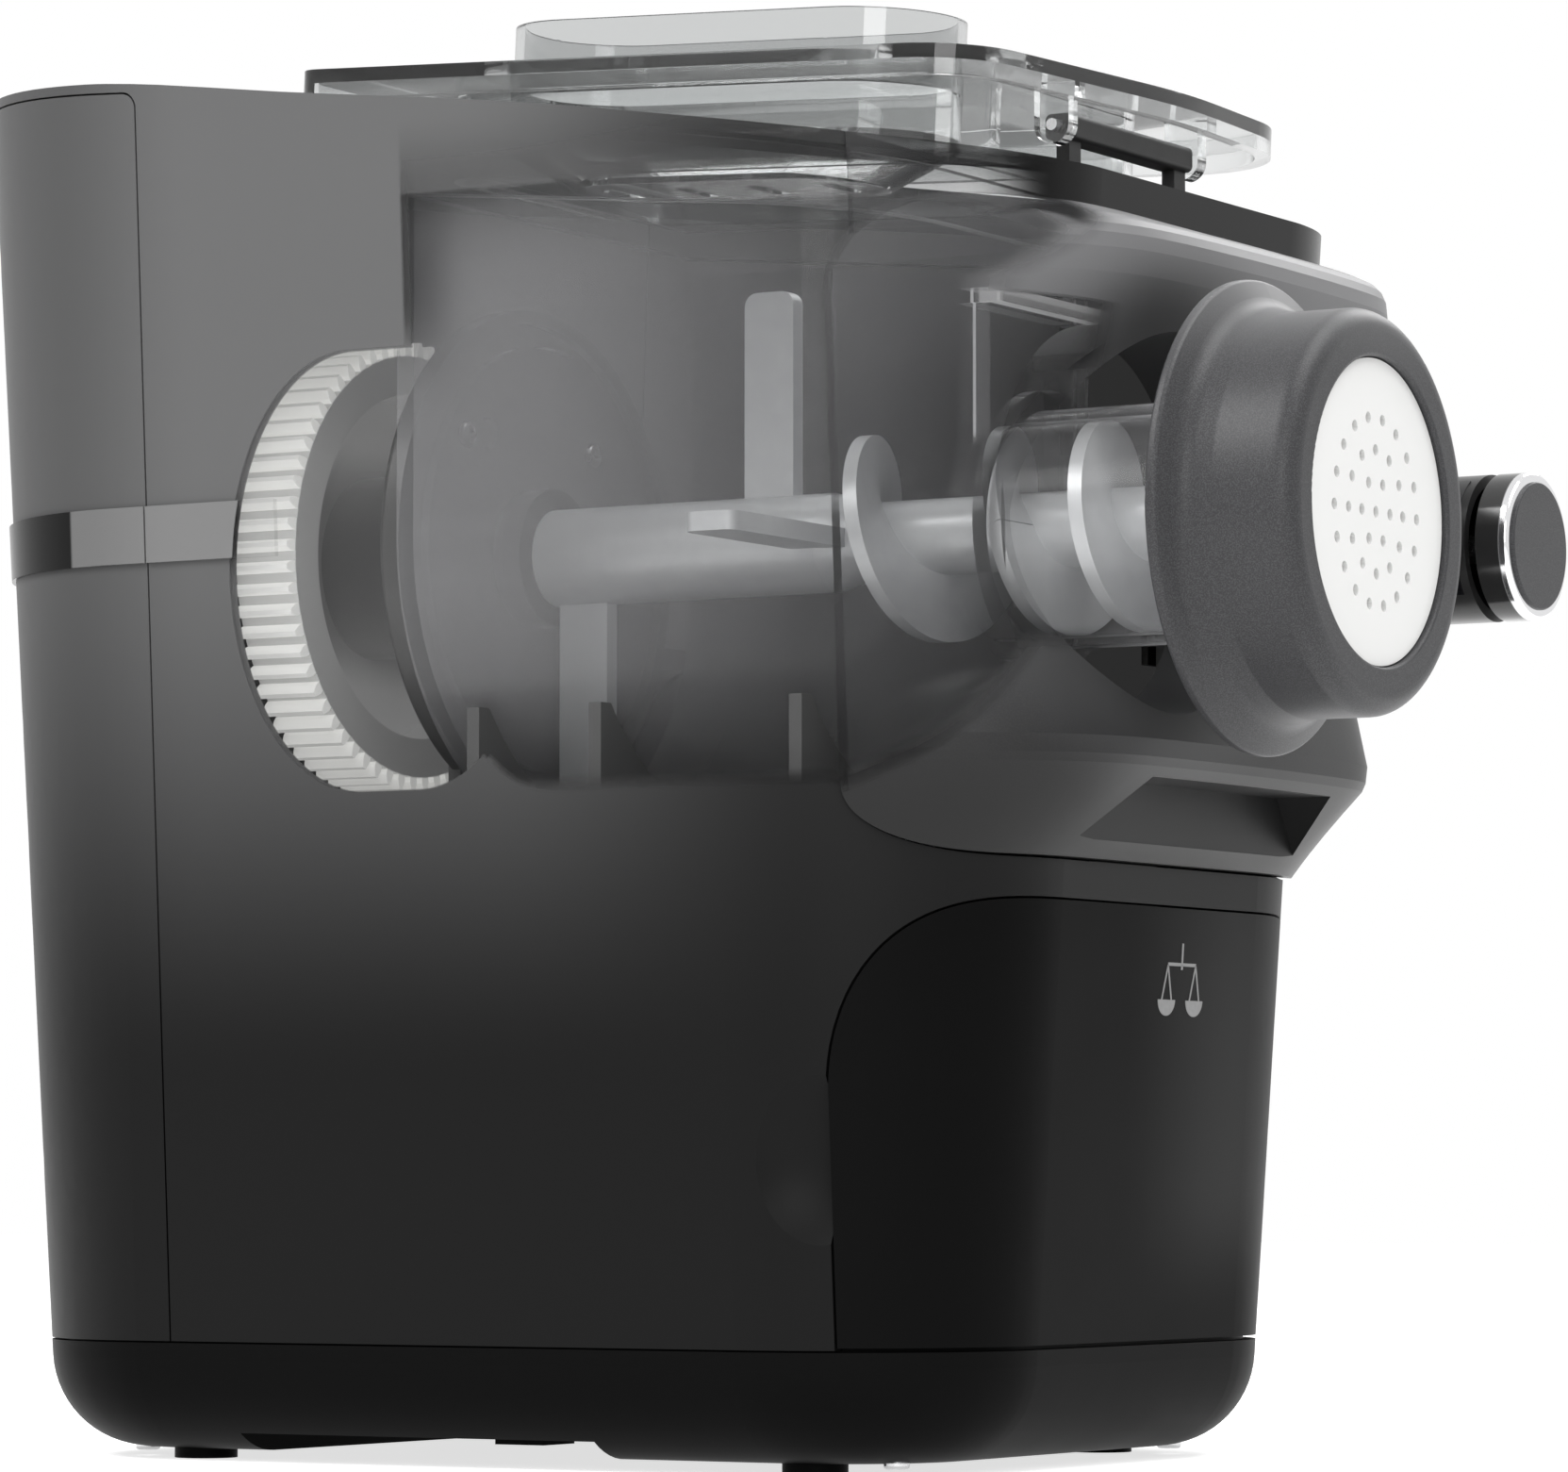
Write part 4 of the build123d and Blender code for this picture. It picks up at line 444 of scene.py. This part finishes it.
# Painted highlights on the neck's corners and along its lip: they glow and are more opaque.
painted_highlight = (side_face * front_corner.most(back_corner)).most(lip * 0.8)
smoke = y.rise(*tub_length_y) * 0.16 + side_face * 0.14 + 0.06
tub.feed(
    Alpha=(turned.rise(0.5, 0.95) * 0.85 + smoke + painted_highlight * 0.5).least(1.0),
    Emission_Color=tub.mix(painted_highlight, grey(0.0), painted_highlight_grey),
)
tub.paint("mixing_chamber")

for finish_name, piece_name, haze, edge_haze in (
    ("rim_clear", "hopper_frame", 0.14, 0.80),
    ("tube_clear", "extruding_tube", 0.08, 0.85),
):
    wall, turned = clear_wall(finish_name)
    wall.feed(Alpha=(turned.rise(0.55, 0.95) * edge_haze + haze).least(1.0))
    wall.paint(piece_name)


# ------------------------------------------------------------------ body casing and rear cover
# Two big charcoal mouldings, satin with a very fine grain. They carry painted light, palest high up
# and midway along, with painted shade darker towards the foot, the front and the rear. The cover is
# screwed on at the rear. The left wall has soft-edged clear windows over the gear and the tub.
charcoal_foot = grey(0.004)
charcoal_painted_light_top = grey(0.118, 0.001)
painted_light_z = (0.080, 0.215)
painted_shade_front_y = (-0.07, 0.015)
painted_shade_rear_y = (0.08, 0.12)
painted_inside_glow = grey(0.024)
left_wall_x = (0.030, 0.050)
right_wall_x = (0.080, 0.094)
wall_turn = (0.3, 0.8)
gear_ys = (0.0275, 0.0423)
gear_z = 0.1866
gear_reach_y = 0.0313
gear_reach_z = 0.0457
inner_skin_wider = 0.08
tub_corner_y = -0.0070
tub_corner_z = 0.1948
tub_corner_width = 0.0345
tub_corner_height = 0.0555
tub_foot_z = 0.1405
tub_foot_soft = 0.0025
tub_dip_y = -0.068
tub_dip_slope = 0.55
tub_top_z = (0.2635, 0.2650)
veil_top_z = (0.262, 0.281)
veil_share = 0.55


def gear_window(y, z, wider=0.0):
    """1 over the big gear, and somewhat beyond it where it is wider."""
    aside = (y - y.most(gear_ys[0]).least(gear_ys[1])) / gear_reach_y
    above = (z - gear_z) / gear_reach_z
    return ((aside * aside + above * above).root() - wider).fall(1.0, 1.012)


def tub_window(y, z):
    """1 over the tub, with a round lower rear corner and a soft lower edge that dips to the front."""
    behind = (y - tub_corner_y).most(0.0) / tub_corner_width
    below = (tub_corner_z - z).most(0.0) / tub_corner_height
    round_corner = (behind * behind + below * below).root().fall(0.985, 1.02)
    foot_line = tub_foot_z - (tub_dip_y - y).most(0.0) * tub_dip_slope
    above_foot = (z - foot_line).rise(-tub_foot_soft, tub_foot_soft)
    veiled = z.fall(*veil_top_z) * veil_share
    return round_corner * above_foot * z.fall(*tub_top_z).most(veiled)


charcoal = Finish("casing_charcoal", Specular_IOR_Level=0.10, Emission_Strength=1.0)
x, y, z = charcoal.axes()
normal = charcoal.node("ShaderNodeNewGeometry", {}, out="Normal")
faces_right = charcoal.node("ShaderNodeSeparateXYZ", {}, normal)
inner_skin = faces_right.rise(*wall_turn)
window = gear_window(y, z, inner_skin * inner_skin_wider).most(tub_window(y, z))
# Painted light high up and midway along, painted shade towards the foot, the front and the rear.
painted_light_along_length = (y.rise(*painted_shade_front_y) * 0.85 + 0.15) * (1.0 - y.rise(*painted_shade_rear_y) * 0.38)
# The right wall's inner side glows with painted light.
right_inner_wall = (-faces_right).rise(*wall_turn) * x.rise(*right_wall_x)
charcoal.feed(
    Base_Color=charcoal.mix(z.rise(*painted_light_z) * painted_light_along_length, charcoal_foot, charcoal_painted_light_top),
    Roughness=charcoal.noise(14.0) * 0.04 + 0.40,
    Normal=charcoal.bump(charcoal.noise(4200.0, detail=1.0), 0.06, 0.0001),
    Emission_Color=charcoal.mix(right_inner_wall, grey(0.0), painted_inside_glow),
    Alpha=1.0 - window * (-x).rise(*left_wall_x) * 0.93,
)
charcoal.paint("body_casing", "rear_cover")


# ------------------------------------------------------------------ trim band
# A glossy black strip of plastic, let into a groove round the rear of the casing in three lengths.
# Along the sides it carries a painted reflection in grey, it shows its black behind the corners, and
# it is clear where its left end lies under the gear's window.
band_dark = grey(0.003)
band_reflection_front = grey(0.18)
band_reflection_rear = grey(0.14)
band_reflection_fade_y = (0.085, 0.115)
band_corner_y = (0.1150, 0.1160)
band_window_wider = -0.04

band_gloss = Finish("band_gloss", Specular_IOR_Level=0.12)
x, y, z = band_gloss.axes()
# Painted reflection: grey along the sides, fading towards the corners.
band_painted_reflection = band_gloss.mix(y.rise(*band_reflection_fade_y), band_reflection_front, band_reflection_rear)
band_gloss.feed(
    Base_Color=band_gloss.mix(y.rise(*band_corner_y), band_painted_reflection, band_dark),
    Roughness=band_gloss.noise(30.0) * 0.05 + 0.16,
    Alpha=1.0 - gear_window(y, z, band_window_wider) * (-x).rise(*left_wall_x) * 0.95,
)
band_gloss.paint("trim_band")


# ------------------------------------------------------------------ front collar
# A glossy black moulding fitted over the casing's front top edge, where the lid's latch hooks in. Its
# left end is clear, less so towards its top. It has painted light, paler towards its rear.
collar_dark = grey(0.004)
collar_painted_light = grey(0.045, 0.001)
collar_light_y = (-0.100, -0.078)
collar_left_x = (0.056, 0.078)
collar_top_z = (0.258, 0.272)

collar_gloss = Finish("collar_gloss", Specular_IOR_Level=0.14)
x, y, z = collar_gloss.axes()
clear_end = (-x).rise(*collar_left_x) * (1.0 - z.rise(*collar_top_z) * 0.6)
# Painted light: the black turns paler towards the collar's rear.
collar_gloss.feed(
    Base_Color=collar_gloss.mix(y.rise(*collar_light_y), collar_dark, collar_painted_light),
    Roughness=collar_gloss.noise(30.0) * 0.06 + 0.22,
    Alpha=1.0 - clear_end * 0.85,
)
collar_gloss.paint("front_collar")


# ------------------------------------------------------------------ front panel
# A dark grey moulding with a very fine speckle, that pulls off to the front. It has a painted
# highlight at its brow, painted shade at its chin and painted light round the tube's hole, where the
# cap shades it, and it is clear at its left, over the tub's neck and the extruding tube.
speckle_dark = grey(0.034, 0.002)
speckle_pale = grey(0.060, 0.003)
painted_chin_shade = grey(0.010)
painted_brow_highlight = grey(0.175, 0.004)
painted_hole_light = grey(0.060, 0.001)
chin_shade_z = (0.130, 0.195)
brow_highlight_z = (0.205, 0.252)
hole_light_edge = (0.040, 0.062)
clear_low_z = 0.168
clear_low_x = 0.070
clear_low_slope = 1.4
clear_side_x = 0.063
clear_step_z = 0.236
clear_step_soft = 0.002
clear_step_width = 0.019
clear_step_reach = 0.0245
clear_step_slope = 1.3
tube_side_x = (0.026, 0.032)
tube_low_z = (0.1665, 0.1700)
tube_high_z = (0.2125, 0.2160)


def speckle(finish):
    """Gives a finish its fine speckle's bump and shine, and returns the speckle's colour."""
    sparkle = finish.noise(3600.0, detail=1.0)
    finish.feed(
        Specular_IOR_Level=0.22,
        Roughness=finish.noise(40.0) * 0.05 + 0.38,
        Normal=finish.bump(sparkle, 0.05, 0.0001),
    )
    return finish.mix(sparkle.rise(0.40, 0.66), speckle_dark, speckle_pale)


panel_grey = Finish("panel_grey")
x, y, z = panel_grey.axes()
left = -x
low_line = clear_low_z - (left - clear_low_x).most(0.0) * clear_low_slope
over_step = z - clear_step_z
step = (clear_step_reach - over_step.most(0.0) * clear_step_slope).least(clear_step_width)
side_line = clear_side_x + over_step.rise(0.0, clear_step_soft) * step
over_neck = (left - side_line).rise(-0.005, 0.005) * (z - low_line).rise(-0.003, 0.003)
over_tube = left.rise(*tube_side_x) * z.rise(*tube_low_z) * z.fall(*tube_high_z)
# Painted highlight at the brow, painted shade at the chin, painted light round the tube's hole.
painted_light_grade = panel_grey.mix(z.rise(*brow_highlight_z), speckle(panel_grey), painted_brow_highlight)
painted_light_grade = panel_grey.mix(z.rise(*chin_shade_z), painted_chin_shade, painted_light_grade)
panel_grey.feed(
    Base_Color=panel_grey.mix(from_axis(x, z).rise(*hole_light_edge), painted_hole_light, painted_light_grade),
    Alpha=1.0 - over_neck.most(over_tube) * 0.90,
)
panel_grey.paint("front_panel")


# ------------------------------------------------------------------ shaping disc
# A plate of pale hard plastic with the holes that form the pasta, held against the tube's end by the
# cap. At its left edge a small spot of painted shade stands for its notch.
disc_pale = grey(0.78, -0.01)
notch_painted_shade = grey(0.05)
notch_x = (-0.0662, -0.0656)
notch_low_z = (0.1916, 0.1920)
notch_high_z = (0.1954, 0.1958)
disc_face_y = (-0.1600, -0.1596)

disc_white = Finish("disc_white", Specular_IOR_Level=0.4)
x, y, z = disc_white.axes()
# Painted shade: a small dark spot where the notch's hollow is.
notch = x.fall(*notch_x) * z.rise(*notch_low_z) * z.fall(*notch_high_z) * y.fall(*disc_face_y)
disc_white.feed(
    Base_Color=disc_white.mix(notch, disc_pale, notch_painted_shade),
    Roughness=disc_white.noise(80.0) * 0.1 + 0.30,
)
disc_white.paint("shaping_disc")


# ------------------------------------------------------------------ die cap
# A ring moulded in the panel's speckled grey, with painted light paler on top, that is turned by
# hand to lock the disc on the end of the tube.
cap_painted_light = grey(0.125, 0.003)
cap_light_z = (0.218, 0.246)

cap_grey = Finish("cap_grey")
z = cap_grey.axes("Z")[0]
# Painted light: the speckled grey turns paler towards the cap's top.
cap_grey.feed(Base_Color=cap_grey.mix(z.rise(*cap_light_z), speckle(cap_grey), cap_painted_light))
cap_grey.paint("die_cap")


# ------------------------------------------------------------------ control housing and display
# A glossy black moulding that stands through the panel as a drum, with a strip of black glass let
# into it over the display.
glass_dark = grey(0.004, 0.001)

control_black = mottled(
    "control_black", grey(0.010), grey(0.016), spots=400.0, patches=30.0, roughness=0.25, spread=0.05,
    Specular_IOR_Level=0.35,
)
control_black.paint("control_housing")

glass = Finish("glass_black", Base_Color=glass_dark)
glass.feed(Roughness=glass.noise(60.0) * 0.03 + 0.04)
glass.paint("display_glass")


# ------------------------------------------------------------------ knob and its ring
# A flat knob in the speckled grey, pushed on the encoder's stem. It turns inside a black ring with a
# chromed front rim.
ring_dark = grey(0.02)
chrome_pale = grey(0.75, 0.01)
chrome_y = (-0.1556, -0.1552)

knob_grey = Finish("knob_grey")
knob_grey.feed(Base_Color=speckle(knob_grey))
knob_grey.paint("knob")

chrome = Finish("chrome_rim")
y = chrome.axes("Y")[0]
front_rim = y.fall(*chrome_y)
chrome.feed(
    Base_Color=chrome.mix(front_rim, ring_dark, chrome_pale),
    Metallic=front_rim,
    Roughness=chrome.noise(60.0) * 0.04 + 0.10,
)
chrome.paint("chrome_ring")


# ------------------------------------------------------------------ lid
# Thick clear plastic that bends what is behind it, with a darker moulded-in cup for pouring. It lifts
# off by hand, and looks dark where it is seen edge on.
plate_clear = (0.86, 0.87, 0.87, 1)
cup_clear = (0.60, 0.61, 0.61, 1)
cup_z = (0.289, 0.292)

lid = Finish("lid_clear", IOR=1.49, Transmission_Weight=1.0)
z = lid.axes("Z")[0]
lid.feed(
    Base_Color=lid.mix(z.rise(*cup_z), plate_clear, cup_clear),
    Roughness=lid.noise(30.0) * 0.01 + 0.005,
)
clear_part = Level(lid, lid.shader.outputs[0])
dark_edge = lid.node(
    "ShaderNodeBsdfPrincipled", {}, Base_Color=grey(0.03), Roughness=0.08, Specular_IOR_Level=0.8
)
edge_share = lid.turned_away().rise(0.72, 1.0) * 0.75
surface = lid.node("ShaderNodeMixShader", {}, edge_share, clear_part, dark_edge)
lid.link(surface, lid.tree.nodes["Material Output"].inputs["Surface"])
lid.paint("lid")


# ------------------------------------------------------------------ screws
# Small steel screws with a cross recess in a rounded head, driven home until half of the head stands
# out. Four hold the rear cover, four the tray and two the drive housing.
screw_radius = 0.0027
screw_height = 0.0010
recess_length = 1.3 * screw_radius
recess_width = 0.3 * screw_radius
rear_screw_x = 0.038
rear_screw_rows = ((0.15505, 0.136), (0.16075, 0.240))
rear_tilt = 3.1
tray_screw_x = 0.060
tray_screw_ys = (-0.066, 0.122)
tray_screw_z = 0.0022
housing_screw_x = 0.025
housing_screw_y = 0.0390
housing_screw_z = 0.2187
sides = (-1, 1)

release()
bpy.ops.mesh.primitive_cylinder_add(vertices=36, radius=screw_radius, depth=2 * screw_height)
head = bpy.context.object
rounding = head.modifiers.new("rounding", "BEVEL")
rounding.width = screw_height * 0.7
rounding.segments = 3
bpy.ops.object.modifier_apply(modifier="rounding")
for length, breadth in ((recess_length, recess_width), (recess_width, recess_length)):
    release()
    bar_size = (length, breadth, screw_height)
    bpy.ops.mesh.primitive_cube_add(size=1, location=(0, 0, screw_height), scale=bar_size)
    bar = bpy.context.object
    bpy.context.view_layer.objects.active = head
    recess = head.modifiers.new("recess", "BOOLEAN")
    recess.operation = "DIFFERENCE"
    recess.object = bar
    bpy.ops.object.modifier_apply(modifier="recess")
    bpy.data.objects.remove(bar)


def drive_screw(name, spot, turn):
    """Sets a copy of the finished head, with its own mesh, where it is driven in."""
    release()
    screw = head.copy()
    screw.data = head.data.copy()
    screw.name = name
    screw.location = spot
    screw.rotation_euler = turn
    bpy.context.collection.objects.link(screw)
    bpy.context.view_layer.objects.active = screw
    screw.select_set(True)
    bpy.ops.object.transform_apply(location=True, rotation=True, scale=True)
    steel.paint(screw)
    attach(screw, "base")


for number, ((y, z), side) in enumerate(product(rear_screw_rows, sides), start=1):
    drive_screw(f"rear_screw_{number}", (side * rear_screw_x, y, z), (radians(-90 - rear_tilt), 0, 0))
for number, (y, side) in enumerate(product(tray_screw_ys, sides), start=1):
    drive_screw(f"tray_screw_{number}", (side * tray_screw_x, y, tray_screw_z), (radians(180), 0, 0))
for number, side in enumerate(sides, start=1):
    spot = (axis_x + side * housing_screw_x, housing_screw_y, housing_screw_z)
    drive_screw(f"housing_screw_{number}", spot, (radians(90), 0, 0))
bpy.data.objects.remove(head)


# ------------------------------------------------------------------ scale mark
# A plain pair of scales printed in pale grey on the drawer's front: a post, a beam, two strings to
# each side and a half disc under them as the pan. It is laid on as thin flat strips.
mark_spot = (0.0105, -0.09495, 0.1020)
mark_lean = 3.74
mark_depth = 0.00030
post = ((0.0, 0.0049), (0.0007, 0.0056), 0.0)
beam = ((0.0, 0.0032), (0.0126, 0.0007), 0.0)
string_y = -0.0007
string_size = (0.0005, 0.0077)
string_apart = 0.0011
string_lean = 16.5
pan_x = 0.0063
pan_y = -0.0043
pan_radii = (0.0039, 0.0034)

strings = [
    ((side * pan_x + hand * string_apart, string_y), string_size, hand * string_lean)
    for side, hand in product(sides, sides)
]
release()
parts = []
for (x, y), (width, height), turn in (post, beam, *strings):
    bpy.ops.mesh.primitive_cube_add(
        size=1, location=(x, y, 0), rotation=(0, 0, radians(turn)), scale=(width, height, mark_depth)
    )
    parts.append(bpy.context.object)
for side in sides:
    middle = (side * pan_x, pan_y, 0)
    bpy.ops.mesh.primitive_cylinder_add(
        vertices=40, radius=1, depth=1, location=middle, scale=(*pan_radii, mark_depth)
    )
    parts.append(bpy.context.object)
    bpy.ops.object.mode_set(mode="EDIT")
    bpy.ops.mesh.select_all(action="SELECT")
    bpy.ops.mesh.bisect(plane_co=middle, plane_no=(0, 1, 0), clear_outer=True, use_fill=True)
    bpy.ops.object.mode_set(mode="OBJECT")
release()
for part in parts:
    part.select_set(True)
mark = parts[0]
mark.name = "scale_mark"
bpy.context.view_layer.objects.active = mark
bpy.ops.object.join()
bpy.ops.object.transform_apply(location=True, rotation=True, scale=True)
mark.location = mark_spot
mark.rotation_euler = (radians(90 + mark_lean), 0, 0)
bpy.ops.object.transform_apply(location=True, rotation=True, scale=True)
ink = mottled(
    "mark_ink", grey(0.26), grey(0.32), spots=900.0, patches=300.0, roughness=0.45, Specular_IOR_Level=0.2
)
ink.paint(mark)
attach(mark, "drawer")
